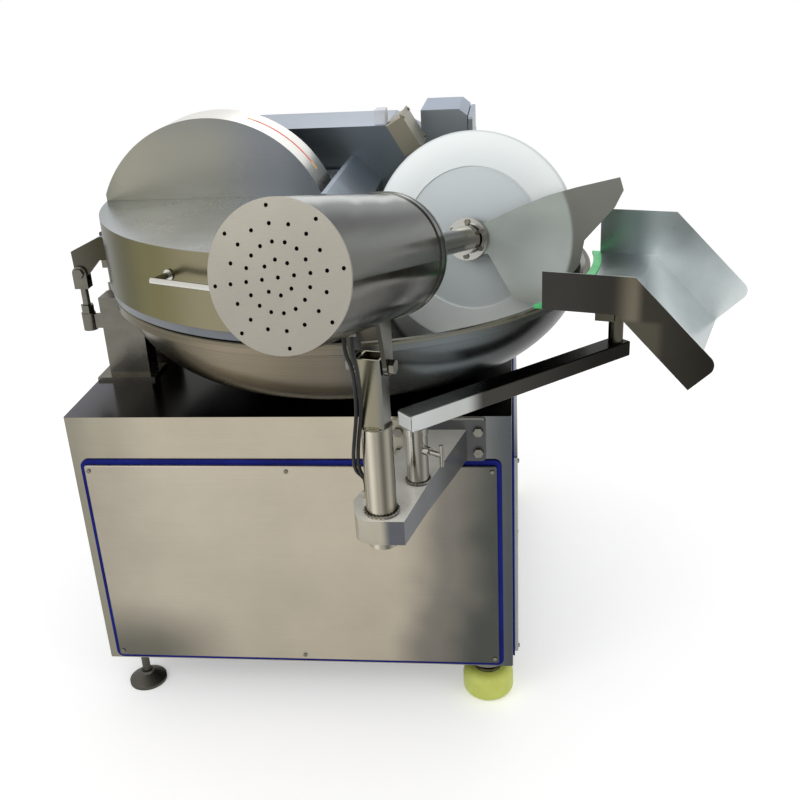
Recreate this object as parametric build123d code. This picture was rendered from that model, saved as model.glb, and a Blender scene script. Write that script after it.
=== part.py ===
from build123d import *

import os
from math import asin, atan2, cos, degrees, pi, radians, sin, sqrt, tan

# Meat bowl cutter: a cabinet with a turning bowl, a belt-driven knife head under a hinged lid, a disc
# unloader on a tilting arm, and a chute on a swinging arm. Millimetres, +Z up, -Y is the operator's side.
# The sizes below are given from the bowl's axis and the floor. The finished parts are shifted so that the
# origin is the bottom centre of the whole machine's box. A body that cuts another runs 1 mm or more past
# the face it cuts.

# ---- clearances -------------------------------------------------------------------------------------
RUN = 0.05            # radial running fit of a shaft in its bearing or bush
FIXED = 0.02          # radial gap of a bolt, ring or tube that is held in its hole
SEAT = 0.3            # gap between parts that only rest beside each other
SHEET = 3.0           # stainless sheet of covers and cabinet

# ---- cabinet ----------------------------------------------------------------------------------------
CAB_LEFT, CAB_RIGHT = -640.0, 369.0
CAB_FRONT, CAB_BACK = -305.0, 845.0
CAB_BOTTOM, CAB_TOP = 115.0, 779.0
CAB_WALL, CAB_CORNER = 4.0, 5.0
BELT_WAY_SIDE, BELT_WAY_END = 12.0, 4.0    # room round the belt and pulley in the cabinet's top
HUB_ROOM = 1.0
RAIL = 60.0           # square base rail
CROSS_RAIL_IN = (60.0, 110.0)    # cross rails, from the motor's front and rear
PANEL_EDGE_SIDE = 33.0    # from the cabinet's corner to the panel's edge
PANEL_EDGE_TOP = 116.0
PANEL_EDGE_BOTTOM = 17.0
PANEL_THICK = 8.0
SEAL_THICK = 5.0
SEAL_PROUD = 11.0     # how far the seal shows beyond the panel
SEAL_WIDTH = 24.0
PANEL_CORNER = 6.0
OPENING_LAND = 30.0   # width of the land behind each seal
PANEL_CHAMFER = 1.5
SCREW_R, SCREW_HEAD, SCREW_ROUND = 5.0, 3.5, 2.0
SCREW_IN_SIDE, SCREW_IN_TOP = 10.0, 13.0    # from the panel's edge to the screw

# ---- feet -------------------------------------------------------------------------------------------
PAD_R, PAD_RIM, PAD_TALL = 47.0, 8.0, 32.0
STEM_R = 10.0
STEM_NUT_AF, STEM_NUT_TALL = 30.0, 12.0
BUFFER_R, BUFFER_TALL, BUFFER_ROUND = 62.0, 86.0, 22.0
BUFFER_HUB_R, BUFFER_CAP = 24.0, 12.0
BUFFER_PLATE_R, BUFFER_PLATE = 56.0, 8.0
FOOT_INSET_X, FOOT_INSET_Y = 62.0, 58.0

# ---- bowl -------------------------------------------------------------------------------------------
RIM_R, RIM_Z = 550.0, 1038.0
RIM_LIP = 20.0
CONE_R = 60.0         # hub cone inside the trough
TROUGH_EDGE = 16.0    # from the trough's round section to the rim's and the cone's outline
TROUGH_R, TROUGH_Z = (RIM_R + CONE_R) / 2, 1080.0    # centre of the trough's round section
TROUGH_IN = (RIM_R - CONE_R) / 2 - TROUGH_EDGE
BOWL_WALL = 8.0
HUB_TOP = 1046.0
BOSS_R = 62.0
SPINDLE_R, SPINDLE_BELOW = 35.0, 6.0
SPINDLE_FLANGE_R, SPINDLE_FLANGE = 95.0, 18.0
BOWL_BEARING_OUT = 55.0
BOWL_BEARING_TALL = 28.0
HOUSING_FLANGE_R, HOUSING_FLANGE = 150.0, 14.0
HOUSING_HUB_R, HOUSING_COLLAR = 78.0, 12.0
HOUSING_BOLTS, HOUSING_BOLT_AF, HOUSING_BOLT_TALL = 8, 19.0, 7.0
HOUSING_LOW = 655.0
GEARBOX, GEARBOX_CORNER = (210.0, 190.0, 130.0), 18.0
BOWL_MOTOR_R, BOWL_MOTOR_LONG, BOWL_MOTOR_FLANGE = 78.0, 230.0, 14.0
BOWL_MOTOR_FINS, BOWL_FIN_THICK, BOWL_FIN_TALL = 12, 3.0, 14.0

# ---- knife head -------------------------------------------------------------------------------------
KNIFE_X, KNIFE_Z = -TROUGH_R, TROUGH_Z + 3.0
KNIFE_R = TROUGH_IN - 8.0    # the knives' tips pass 8 mm from the trough
KNIFE_ROOT = 58.0
KNIFE_THICK = 6.0
KNIFE_PITCH = 22.0
KNIFE_PAIRS = 3
KNIFE_FRONT = -38.0
SHAFT_R = 30.0
SHAFT_REAR, SHAFT_NOSE = 838.0, 26.0
SHAFT_COLLAR_R, SPACER_R = 56.0, 52.0
COLLAR_GAP, COLLAR_THICK = 2.0, 14.0
CLAMP_NUT_AF, CLAMP_NUT_TALL = 80.0, 22.0
ARM_FRONT, ARM_REAR = 256.0, 765.0
ARM_HALF = 80.0
ARM_BORE = 50.0
ARM_NECK_LOW = 1046.0
ARM_NOSE_R = 64.0
ARM_NOSE_LONG = 120.0
ARM_TOP = 1185.0
ARM_LEG_FRONT = 585.0
ARM_ROUND = 40.0
ARM_SHAFT_ROOM = 3.0
ARM_FOOT_WIDE, ARM_FOOT_TALL = 60.0, 24.0
KNIFE_BEARING_LONG = 34.0
PULLEY_Y, PULLEY_WIDE = 804.0, 56.0
KNIFE_PULLEY_R, MOTOR_PULLEY_R = 66.0, 99.0
BELT_THICK, BELT_WIDE = 9.0, 50.0
GROOVES, GROOVE_DEEP, GROOVE_SHARE = 5, 5.0, 0.7
MOTOR_Z = 330.0
MOTOR_R = 150.0
MOTOR_FRONT, MOTOR_REAR = 260.0, 740.0
MOTOR_SHAFT_R, MOTOR_SHAFT_IN = 24.0, 38.0
MOTOR_CAP, MOTOR_FAN = 24.0, 60.0          # end cap and fan cover
MOTOR_FINS, MOTOR_FIN_THICK, MOTOR_FIN_TALL = 20, 4.0, 14.0
MOTOR_FOOT, MOTOR_FOOT_X, MOTOR_FOOT_HALF = 20.0, 120.0, 35.0
MOTOR_WEB_HALF = 8.0
TERMINAL_BOX = (120.0, 420.0, 540.0, 45.0)    # width, front, rear, height over the motor

# ---- covers over the knife head ---------------------------------------------------------------------
HOOD_FRONT, HOOD_TOP_BACK, HOOD_BACK = 250.0, 520.0, 843.0
HOOD_LEFT, HOOD_RIGHT = -450.0, 115.0
HOOD_TOP, HOOD_LOW, HOOD_REAR_TOP = 1315.0, 1062.0, 1225.0
HOOD_SHOULDER_X, HOOD_SHOULDER_Z = 52.0, 90.0
HOOD_LEG_FRONT = 580.0
COVER_LEFT, COVER_RIDGE, COVER_RIGHT = -29.0, -18.0, 45.0
COVER_FRONT, COVER_BACK = -190.0, HOOD_FRONT - SEAT
COVER_TOP, COVER_SHOULDER = 1245.0, 1182.0
COVER_LOW = 1061.0

# ---- lid --------------------------------------------------------------------------------------------
LID_R = RIM_R + 6.0
LID_LOW, LID_TOP = 1061.0, 1214.0
LID_RIGHT, LID_BACK = -35.0, 235.0
DRUM_X, DRUM_Z, DRUM_R = KNIFE_X, 1120.0, KNIFE_R + 50.0    # round knife cover raised above the lid's flat top
DRUM_FRONT, DRUM_BACK = -60.0, 80.0
SHAFT_SLOT = SHAFT_R + 7.0
HANDLE_ANGLE, HANDLE_LONG, HANDLE_OFF = 23.0, 150.0, 40.0
HANDLE_Z, HANDLE_R, HANDLE_FOOT = 1161.0, 6.0, 5.0
PIN_X, PIN_Z, PIN_R = -655.0, 1041.0, 8.0
HINGE_YS = (-40.0, 140.0)
LUG_THICK, EAR_THICK = 14.0, 7.0
FORK_HALF = 17.0
BARREL_R, BARREL_LOW, BARREL_HIGH = 17.0, 897.0, 940.0
HINGE_ROD_R = 9.0
HINGE_NUT_AF, HINGE_NUT_TALL = 28.0, 20.0
POST_LEFT, POST_RIGHT, POST_TOP = -612.0, -512.0, 985.0
POST_DEEP = 60.0
POST_PLATE, POST_PLATE_SIDE = 8.0, 18.0
POST_PLATE_LEFT, POST_PLATE_RIGHT = 28.0, 16.0
POST_WALL = 5.0
POST_SLOPE = (36.0, 60.0)             # across and down, on the post's inner top edge
BARREL_WEB_HALF, BARREL_WEB_IN = 6.0, 4.0
PIN_HEAD_AF, PIN_HEAD_TALL, PIN_NUT_TALL = 22.0, 8.0, 9.0
FORK_LOW, FORK_SLOT_LOW = 38.0, 20.0    # below the pin

# ---- switch box and electrical cabinet --------------------------------------------------------------
SWITCH_LONG, SWITCH_THICK, SWITCH_DEEP = 92.0, 42.0, 150.0
SWITCH_LIP, SWITCH_COVER, SWITCH_CORNER = 3.0, 5.0, 3.0
SWITCH_SCREW_IN, SWITCH_SCREW_R, SWITCH_SCREW_TALL = 6.0, 4.0, 3.0
ELEC_LEFT, ELEC_RIGHT = 125.0, 266.0
ELEC_FRONT, ELEC_BACK = 545.0, 800.0
ELEC_TOP = 1308.0
ELEC_SLOPE = (22.0, 18.0)             # across and down, on the right top edge
DOOR_THICK, DOOR_CORNER, DOOR_GAP = 12.0, 6.0, 2.0
DOOR_LOW, DOOR_HIGH = 14.0, 22.0      # from the cabinet's top and from the box's top
DOOR_PIN_R, DOOR_KNUCKLE = 4.0, 3.0
DOOR_HINGE_LOW, DOOR_HINGE_HIGH, DOOR_HINGE_HALF = 90.0, 110.0, 20.0
DOOR_PIN_BEHIND = 8.0
LATCH_R, LATCH_PROUD, LATCH_IN = 11.0, 8.0, 24.0

# ---- disc unloader ----------------------------------------------------------------------------------
DISC_AT = (284.0, -100.0, 1118.0)     # centre of the disc
AXIS_TURN, AXIS_TILT = 13.2, 11.7     # the unloader's axis: turned left from -Y, raised at its motor end
DISC_R, DISC_THICK = 231.0, 14.0
DISC_STEP_R, DISC_STEP = 156.0, 5.0
FLANGE_R, FLANGE_THICK = 46.0, 8.0
FLANGE_W = 20.0
ARM_TUBE_R = 24.0
DISC_SHAFT_R, DISC_SHAFT_IN = 14.0, 40.0
DISC_NUT_AF, DISC_NUT_TALL = 46.0, 14.0
DISC_HUB_R, DISC_HUB_GAP = 26.0, 2.0
HOUSING_R, HOUSING_WALL = 105.0, 3.0
HOUSING_REAR_W, HOUSING_COVER_W = 566.0, 975.0
RING_LONG, RING_PROUD = 16.0, 2.0
END_SEAL, END_PLATE, END_PLATE_ROUND = 5.0, 12.0, 5.0
COVER_SKIRT = 22.0
VENT_R = 2.9
VENT_RINGS = ((0.226, 8), (0.452, 16), (0.68, 16), (0.905, 8))    # share of the radius, holes
VENT_TURN = 100.0
GEARMOTOR_R, GEARMOTOR_LONG = 70.0, 300.0
GEARMOTOR_FLANGE_R, GEARMOTOR_FLANGE = 16.0, 40.0    # beyond the motor's radius, and along it
SCRAPER_W, SCRAPER_THICK = FLANGE_W + FLANGE_THICK, 4.0
FLANGE_SCREWS, FLANGE_SCREW_AT, FLANGE_SCREW_R = 6, 37.0, 3.0
FLANGE_SCREW_AF, FLANGE_SCREW_TALL = 11.0, 6.0
ARM_BORE_ROOM = 4.0     # round the disc's shaft inside the arm tube
FLANGE_RING = 10.0      # rear ring of the flange, behind the scraper
SLEEVE_R, SLEEVE_LONG, SLEEVE_GAP = 32.0, 30.0, 10.0
GLAND_W, GLAND_U = 650.0, -24.0
GLAND_R, GLAND_LONG, GLAND_PITCH = 7.0, 22.0, 15.0

# ---- unloader post, yoke and wall bracket -----------------------------------------------------------
POST_X, POST_Y = 129.0, -667.0
TUBE_R, TUBE_WALL = 28.5, 4.0
TUBE_TOP = 931.0
TUBE_SUNK = 66.0      # how far the post reaches down through the bracket's top
SQUARE, SQUARE_WALL, SQUARE_CORNER, SQUARE_FLOOR = 44.0, 4.0, 4.0, 6.0
SQUARE_TOP = 1063.0
TENON_LONG = 120.0    # round end of the mast, down inside the post
PIVOT_Z, PIVOT_R = 1045.0, 8.0
EAR_GAP, EAR_PLATE = 3.0, 8.0
EAR_R = 17.0
EAR_FOOT = (8.0, 75.0, 46.0)          # from the housing's end, to, and how deep in the housing's radius
PIVOT_BOLT_AF, PIVOT_HEAD_TALL, PIVOT_NUT_TALL = 24.0, 9.0, 12.0
POST_COLLAR, COLUMN_COLLAR, WELD_COLLAR_TALL = 5.0, 3.0, 4.0
STRAP_THICK = 8.0
STRAP_HIGH = 752.0
STRAP_LOW_WALL, STRAP_LOW_NOSE = 679.0, 703.0
STRAP_WALL_X = (168.0, 272.0)         # where the bracket's arm meets its wall plate
STRAP_BEND = (204.0, -572.0)
STRAP_NOSE = (69.0, 174.0, -705.0)    # left, right and front of the nose
STRAP_NOSE_SIDE = -625.0              # where the nose's left side starts
WALL_PLATE_X = (107.0, 313.0)
WALL_PLATE_HIGH = 775.0
WALL_PLATE_THICK = 10.0
WALL_PLATE_CORNER = 9.0
BRACKET_BOLT_R, BRACKET_BOLT_AF = 6.0, 19.0
BRACKET_BOLT_IN, BRACKET_BOLT_LOW, BRACKET_BOLT_HIGH = 16.0, 22.0, 27.0    # from the plate's edges
BRACKET_BOLT_TALL = 9.0
STRAP_NOSE_CUT, STRAP_ROUND = 16.0, 40.0

# ---- chute ------------------------------------------------------------------------------------------
COLUMN_X, COLUMN_Y = 187.0, -547.0
COLUMN_R = 21.5
COLLAR_LONG, COLLAR_PROUD = 14.0, 1.5
SWIVEL_R = 17.0
SWIVEL_DEEP = 90.0
ARM_TOP_Z, ARM_BEAM_TALL, ARM_BEAM_WIDE = 905.0, 34.0, 47.0
ARM_OVER_COLUMN, ARM_OVER_PIN = 26.0, 24.0
ARM_EDGE_ROUND, ARM_END_ROUND = 3.0, 5.0
PIN_SEAT = 5.0                        # the chute's pin stands this far above the beam's underside
CLAMP_HEADING, CLAMP_DOWN = -35.0, 46.0
CLAMP_R, CLAMP_LONG, CLAMP_BAR_R, CLAMP_BAR_HALF = 5.0, 40.0, 4.5, 22.0
CLAMP_BOSS_R, CLAMP_BOSS_LONG = 9.0, 12.0
CHUTE_TURN = -17.0
CHUTE_START = (428.0, -380.0)
CHUTE_FLOOR, CHUTE_SHEET = 1046.0, 3.0
CHUTE_WIDE = 420.0
CHUTE_BEND, CHUTE_END = 150.0, 290.0
CHUTE_FRONT_WALL, CHUTE_BACK_WALL = 77.0, 104.0
CHUTE_CORNER = 22.0
CHUTE_MOUTH_R = RIM_R + 24.0
CHUTE_BEFORE = 60.0                   # how far inside the mouth's cut the sheet starts
CHUTE_PIN = (103.0, 234.0)            # along and across the chute
CHUTE_PIN_R = 16.0
CHUTE_BLOCK = (63.0, 104.0, 60.0, 88.0)    # start and end along the chute, width across it, height
STRIP_IN, STRIP_THICK, STRIP_END = RIM_R + 6.0, 6.0, 240.0

# ---- cables -----------------------------------------------------------------------------------------
CABLE_R = 3.5
CABLE_GAP = 8.5       # between the two cables
CABLE_ROUTE = [(112, -728, 1062), (110.5, -708, 1012), (107, -693, 960), (98, -687, 908), (92, -673, 864),
               (91, -656, 830), (97, -637, 806)]
CABLE_FOOT = (106.0, -622.0)          # gland on the bracket's top
CABLE_FOOT_TURN = 30.0                # heading of the second gland from the first
FOOT_GLAND_LONG = 14.0
CABLE_LEAD, CABLE_TAIL = 26.0, 24.0   # straight runs at the upper and lower gland
CORNER_SHARE = 0.45                   # a corner's tangent, as a share of the shorter run beside it

parts = {}
bearings = []


# ---- helpers ----------------------------------------------------------------------------------------
def block(x0, x1, y0, y1, z0, z1):
    return Pos((x0 + x1) / 2, (y0 + y1) / 2, (z0 + z1) / 2) * Box(x1 - x0, y1 - y0, z1 - z0)


def disk(radius, tall):
    """A cylinder that stands on the origin."""
    return Cylinder(radius, tall, align=(Align.CENTER, Align.CENTER, Align.MIN))


def rod(start, end, radius):
    a, b = Vector(*start), Vector(*end)
    along = b - a
    return Plane(origin=a, z_dir=along) * disk(radius, along.length)


def tube(start, end, outer, inner):
    return rod(start, end, outer) - rod(start, end, inner)


def outline(points, radius=0.0):
    face = make_face(Polyline(*points, close=True))
    return fillet(face.vertices(), radius) if radius else face


def side_cut(points, x0, x1, radius=0.0):
    """A (y, z) outline made solid from x0 to x1."""
    return Pos(x0, 0, 0) * extrude(Plane.YZ * outline(points, radius), x1 - x0)


def front_cut(points, y0, y1, radius=0.0):
    """An (x, z) outline made solid from y0 to y1."""
    return Pos(0, y1, 0) * extrude(Plane.XZ * outline(points, radius), y1 - y0)


def hex_head(across, tall):
    return extrude(RegularPolygon(across / sqrt(3), 6), tall)


def one(shape):
    """The shape as a single Part, whatever the last operation returned."""
    return shape if isinstance(shape, (Part, Solid, Compound)) else Compound(list(shape))


# ---- cabinet ----------------------------------------------------------------------------------------
def cabinet():
    outer = block(CAB_LEFT, CAB_RIGHT, CAB_FRONT, CAB_BACK, CAB_BOTTOM, CAB_TOP)
    inner = block(CAB_LEFT + CAB_WALL, CAB_RIGHT - CAB_WALL, CAB_FRONT + CAB_WALL, CAB_BACK - CAB_WALL,
                  CAB_BOTTOM - 1, CAB_TOP - CAB_WALL)
    shell = fillet(outer.edges().filter_by(Axis.Z), CAB_CORNER) - inner
    low, high = CAB_BOTTOM + PANEL_EDGE_BOTTOM + OPENING_LAND, CAB_TOP - PANEL_EDGE_TOP - OPENING_LAND
    reach = PANEL_EDGE_SIDE + OPENING_LAND
    shell -= block(CAB_LEFT + reach, CAB_RIGHT - reach, CAB_FRONT - 1, CAB_BACK + 1, low, high)
    shell -= block(CAB_LEFT - 1, CAB_RIGHT + 1, CAB_FRONT + reach, CAB_BACK - reach, low, high)
    shell -= Pos(0, 0, CAB_TOP) * Cylinder(HOUSING_HUB_R + HUB_ROOM, 4 * CAB_WALL)
    half = MOTOR_PULLEY_R + BELT_THICK + BELT_WAY_SIDE
    end = PULLEY_WIDE / 2 + BELT_WAY_END
    shell -= block(KNIFE_X - half, KNIFE_X + half, PULLEY_Y - end, PULLEY_Y + end,
                   CAB_TOP - 3 * CAB_WALL, CAB_TOP + 1)
    parts["cabinet_shell"] = shell


def base_frame():
    x0, x1 = CAB_LEFT + CAB_WALL + SEAT, CAB_RIGHT - CAB_WALL - SEAT
    y0, y1 = CAB_FRONT + CAB_WALL + SEAT, CAB_BACK - CAB_WALL - SEAT
    low, high = CAB_BOTTOM, CAB_BOTTOM + RAIL
    frame = block(x0, x1, y0, y1, low, high)
    frame -= block(x0 + RAIL, x1 - RAIL, y0 + RAIL, y1 - RAIL, low - 1, high + 1)
    for y in (MOTOR_FRONT + CROSS_RAIL_IN[0], MOTOR_REAR - CROSS_RAIL_IN[1]):
        frame += block(x0 + RAIL, x1 - RAIL, y, y + RAIL, low, high)
    parts["base_frame"] = frame


def panel_sheet(width, height):
    """A tray-shaped panel, its face towards -Y and its middle at the origin."""
    tray = Box(width, PANEL_THICK, height)
    tray = fillet(tray.edges().filter_by(Axis.Y), PANEL_CORNER)
    tray = chamfer(tray.faces().sort_by(Axis.Y)[0].edges(), PANEL_CHAMFER)
    hollow = Box(width - 2 * SHEET, PANEL_THICK - SHEET + 1, height - 2 * SHEET)
    return tray - Pos(0, (SHEET + 1) / 2, 0) * hollow


def seal_frame(width, height):
    wide, tall = width + 2 * SEAL_PROUD, height + 2 * SEAL_PROUD
    outer = Box(wide, SEAL_THICK, tall)
    outer = fillet(outer.edges().filter_by(Axis.Y), PANEL_CORNER + SEAL_PROUD)
    return outer - Box(wide - 2 * SEAL_WIDTH, 2 * SEAL_THICK, tall - 2 * SEAL_WIDTH)


def panels():
    low, high = CAB_BOTTOM + PANEL_EDGE_BOTTOM, CAB_TOP - PANEL_EDGE_TOP
    tall, mid_z = high - low, (high + low) / 2
    wide = CAB_RIGHT - CAB_LEFT - 2 * PANEL_EDGE_SIDE
    deep = CAB_BACK - CAB_FRONT - 2 * PANEL_EDGE_SIDE
    mid_x, mid_y = (CAB_LEFT + CAB_RIGHT) / 2, (CAB_FRONT + CAB_BACK) / 2
    sides = {
        "front_panel": (Pos(mid_x, CAB_FRONT, mid_z), wide),
        "rear_panel": (Pos(mid_x, CAB_BACK, mid_z) * Rot(0, 0, 180), wide),
        "right_panel": (Pos(CAB_RIGHT, mid_y, mid_z) * Rot(0, 0, 90), deep),
        "left_panel": (Pos(CAB_LEFT, mid_y, mid_z) * Rot(0, 0, -90), deep),
    }
    head = Rot(90, 0, 0) * disk(SCREW_R, SCREW_HEAD)
    head = fillet(head.edges().sort_by(Axis.Y)[0], SCREW_ROUND)
    seals, screws = [], []
    for name, (place, width) in sides.items():
        seals.append(place * Pos(0, -SEAL_THICK / 2, 0) * seal_frame(width, tall))
        parts[name] = place * Pos(0, -SEAL_THICK - PANEL_THICK / 2, 0) * panel_sheet(width, tall)
        face = place * Pos(0, -SEAL_THICK - PANEL_THICK, 0)
        side, top = width / 2 - SCREW_IN_SIDE, tall / 2 - SCREW_IN_TOP
        screws += [face * Pos(u, 0, v) * head for v in (-top, top) for u in (-side, 0, side)]
    parts["panel_seals"] = Compound(seals)
    parts["panel_screws"] = Compound(screws)


def feet():
    left, right = CAB_LEFT + FOOT_INSET_X, CAB_RIGHT - FOOT_INSET_X
    front, back = CAB_FRONT + FOOT_INSET_Y, CAB_BACK - FOOT_INSET_Y
    pad = outline([(0, 0), (PAD_R, 0), (PAD_R, PAD_RIM), (STEM_R + 8, PAD_TALL - 6), (STEM_R + 5, PAD_TALL),
                   (STEM_R, PAD_TALL), (STEM_R, CAB_BOTTOM), (0, CAB_BOTTOM)])
    foot = revolve(Plane.XZ * pad, Axis.Z)
    foot += Pos(0, 0, CAB_BOTTOM - STEM_NUT_TALL) * hex_head(STEM_NUT_AF, STEM_NUT_TALL)
    parts["levelling_feet"] = Compound([Pos(left, y, 0) * foot for y in (front, back)])
    ring_top, plate_low = BUFFER_TALL - BUFFER_CAP, CAB_BOTTOM - BUFFER_PLATE
    body = outline([(BUFFER_HUB_R, 0), (BUFFER_R, 0), (BUFFER_R, ring_top), (BUFFER_HUB_R, ring_top)])
    body = fillet(body.vertices().group_by(Axis.X)[-1], BUFFER_ROUND)
    ring = revolve(Plane.XZ * body, Axis.Z)
    parts["buffer_feet"] = Compound([Pos(right, y, 0) * ring for y in (front, back)])
    hub = outline([(0, 10), (BUFFER_HUB_R, 10), (BUFFER_HUB_R, ring_top), (BUFFER_HUB_R + 9, ring_top),
                   (BUFFER_HUB_R + 9, BUFFER_TALL - 4), (STEM_R + 4, BUFFER_TALL), (STEM_R + 4, plate_low),
                   (BUFFER_PLATE_R, plate_low), (BUFFER_PLATE_R, CAB_BOTTOM), (0, CAB_BOTTOM)])
    core = revolve(Plane.XZ * hub, Axis.Z)
    parts["buffer_hubs"] = Compound([Pos(right, y, 0) * core for y in (front, back)])


# ---- bowl and its drive -----------------------------------------------------------------------------
def trough_x(radius, z, side):
    """Where the trough's round section of this radius is at height z, on its outer (+1) or hub (-1) side."""
    return TROUGH_R + side * sqrt(radius ** 2 - (TROUGH_Z - z) ** 2)


def bowl():
    inner, outer = TROUGH_IN, TROUGH_IN + BOWL_WALL
    rim_in = RIM_Z - 10
    hub_z = RIM_Z - 12
    under_rim = RIM_Z - RIM_LIP - 8
    under_hub = hub_z - 24
    profile = Polyline((0, HUB_TOP), (trough_x(inner, hub_z, -1) - 14, HUB_TOP),
                       (trough_x(inner, hub_z, -1), hub_z))
    profile += ThreePointArc((trough_x(inner, hub_z, -1), hub_z), (TROUGH_R, TROUGH_Z - inner),
                             (trough_x(inner, rim_in, 1), rim_in))
    profile += Polyline((trough_x(inner, rim_in, 1), rim_in), (RIM_R - 12, RIM_Z), (RIM_R - 3, RIM_Z),
                        (RIM_R, RIM_Z - 3), (RIM_R, RIM_Z - RIM_LIP),
                        (trough_x(outer, under_rim, 1), under_rim))
    profile += ThreePointArc((trough_x(outer, under_rim, 1), under_rim), (TROUGH_R, TROUGH_Z - outer),
                             (trough_x(outer, under_hub, -1), under_hub))
    low = TROUGH_Z - outer
    profile += Polyline((trough_x(outer, under_hub, -1), under_hub), (BOSS_R, under_hub), (BOSS_R, low),
                        (0, low), (0, HUB_TOP))
    parts["bowl"] = revolve(Plane.XZ * make_face(profile), Axis.Z)
    flange_low = low - SPINDLE_FLANGE
    spindle = Pos(0, 0, flange_low) * disk(SPINDLE_FLANGE_R, SPINDLE_FLANGE)
    spindle += rod((0, 0, HOUSING_LOW - GEARBOX[2] - SPINDLE_BELOW), (0, 0, flange_low), SPINDLE_R)
    parts["bowl_spindle"] = spindle
    bowl_bearings()
    bowl_drive()


def bowl_bearings():
    top = CAB_TOP + HOUSING_FLANGE
    housing = rod((0, 0, CAB_TOP), (0, 0, top), HOUSING_FLANGE_R)
    housing += rod((0, 0, HOUSING_LOW), (0, 0, top + HOUSING_COLLAR), HOUSING_HUB_R)
    housing -= rod((0, 0, HOUSING_LOW - 1), (0, 0, top + HOUSING_COLLAR + 1), BOWL_BEARING_OUT)
    bolt_r = (HOUSING_FLANGE_R + HOUSING_HUB_R) / 2 + 8
    bolt = Pos(bolt_r, 0, top) * hex_head(HOUSING_BOLT_AF, HOUSING_BOLT_TALL)
    for k in range(HOUSING_BOLTS):
        housing += Rot(0, 0, 360 / HOUSING_BOLTS * (k + 0.5)) * bolt
    parts["bowl_bearing_housing"] = housing
    for z in (HOUSING_LOW + 8, top + 8 - BOWL_BEARING_TALL):
        ring = tube((0, 0, z), (0, 0, z + BOWL_BEARING_TALL), BOWL_BEARING_OUT - FIXED, SPINDLE_R + RUN)
        bearings.append(ring)


def bowl_drive():
    gx, gy, gz = GEARBOX
    box = Pos(0, 0, HOUSING_LOW - gz / 2) * Box(gx, gy, gz)
    box = fillet(box.edges().filter_by(Axis.Z), GEARBOX_CORNER)
    box -= rod((0, 0, HOUSING_LOW - gz - 1), (0, 0, HOUSING_LOW + 1), SPINDLE_R + RUN)
    parts["bowl_gearbox"] = box
    z = HOUSING_LOW - gz / 2
    body_x, body_r = gx / 2 + BOWL_MOTOR_FLANGE, BOWL_MOTOR_R - 12
    motor = rod((gx / 2, 0, z), (body_x, 0, z), BOWL_MOTOR_R)
    motor += rod((body_x, 0, z), (gx / 2 + BOWL_MOTOR_LONG, 0, z), body_r)
    fin = block(0, BOWL_MOTOR_LONG - 60, -BOWL_FIN_THICK / 2, BOWL_FIN_THICK / 2, 0, BOWL_FIN_TALL)
    for k in range(BOWL_MOTOR_FINS):
        turn = Rot(360 / BOWL_MOTOR_FINS * k, 0, 0)
        motor += Pos(body_x, 0, z) * turn * Pos(0, 0, body_r - 1) * fin
    parts["bowl_motor"] = motor


# ---- knife head -------------------------------------------------------------------------------------
def along_y(y0, y1, radius, x=KNIFE_X, z=KNIFE_Z):
    return rod((x, y0, z), (x, y1, z), radius)


def knife_shape():
    """One curved blade in the XZ plane, its root round the shaft. Places are shares of the tip's radius."""
    tip, root = KNIFE_R, KNIFE_ROOT
    edge = ThreePointArc((20, -root), (0.78 * tip, -0.42 * tip), (0.80 * tip, 0.60 * tip))
    edge += Line((0.80 * tip, 0.60 * tip), (0.62 * tip, 0.62 * tip))
    edge += ThreePointArc((0.62 * tip, 0.62 * tip), (0.52 * tip, 0.10 * tip), (10, root))
    edge += ThreePointArc((10, root), (-root, 0), (20, -root))
    return make_face(edge)


def knife_head():
    nose_end = KNIFE_FRONT - SHAFT_NOSE
    stack_back = KNIFE_FRONT + KNIFE_PITCH * KNIFE_PAIRS
    collar = stack_back + COLLAR_GAP
    parts["knife_shaft"] = along_y(nose_end, SHAFT_REAR, SHAFT_R) \
        + along_y(collar, collar + COLLAR_THICK, SHAFT_COLLAR_R)
    blades, spacers = [], []
    bore = along_y(CAB_FRONT, CAB_BACK, SHAFT_R)
    sweep = along_y(CAB_FRONT, CAB_BACK, KNIFE_R)
    for k in range(KNIFE_PAIRS):
        y = KNIFE_FRONT + KNIFE_PITCH * k
        spacer_end = collar if k == KNIFE_PAIRS - 1 else y + KNIFE_PITCH
        for side in (0, 1):
            blade = Pos(KNIFE_X, y + KNIFE_THICK + side * KNIFE_THICK, KNIFE_Z) * \
                Rot(0, 180 / KNIFE_PAIRS * k + 180 * side, 0) * extrude(Plane.XZ * knife_shape(), KNIFE_THICK)
            blades.append((blade - bore) & sweep)
        spacers.append(along_y(y + 2 * KNIFE_THICK, spacer_end, SPACER_R) - bore)
    parts["knives"] = Compound(blades)
    nut = Pos(KNIFE_X, KNIFE_FRONT, KNIFE_Z) * Rot(90, 0, 0) * hex_head(CLAMP_NUT_AF, CLAMP_NUT_TALL) - bore
    spacers.append(nut)
    parts["knife_clamp_set"] = Compound(spacers)
    bearing_arm()
    pulleys()
    motor()


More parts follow.
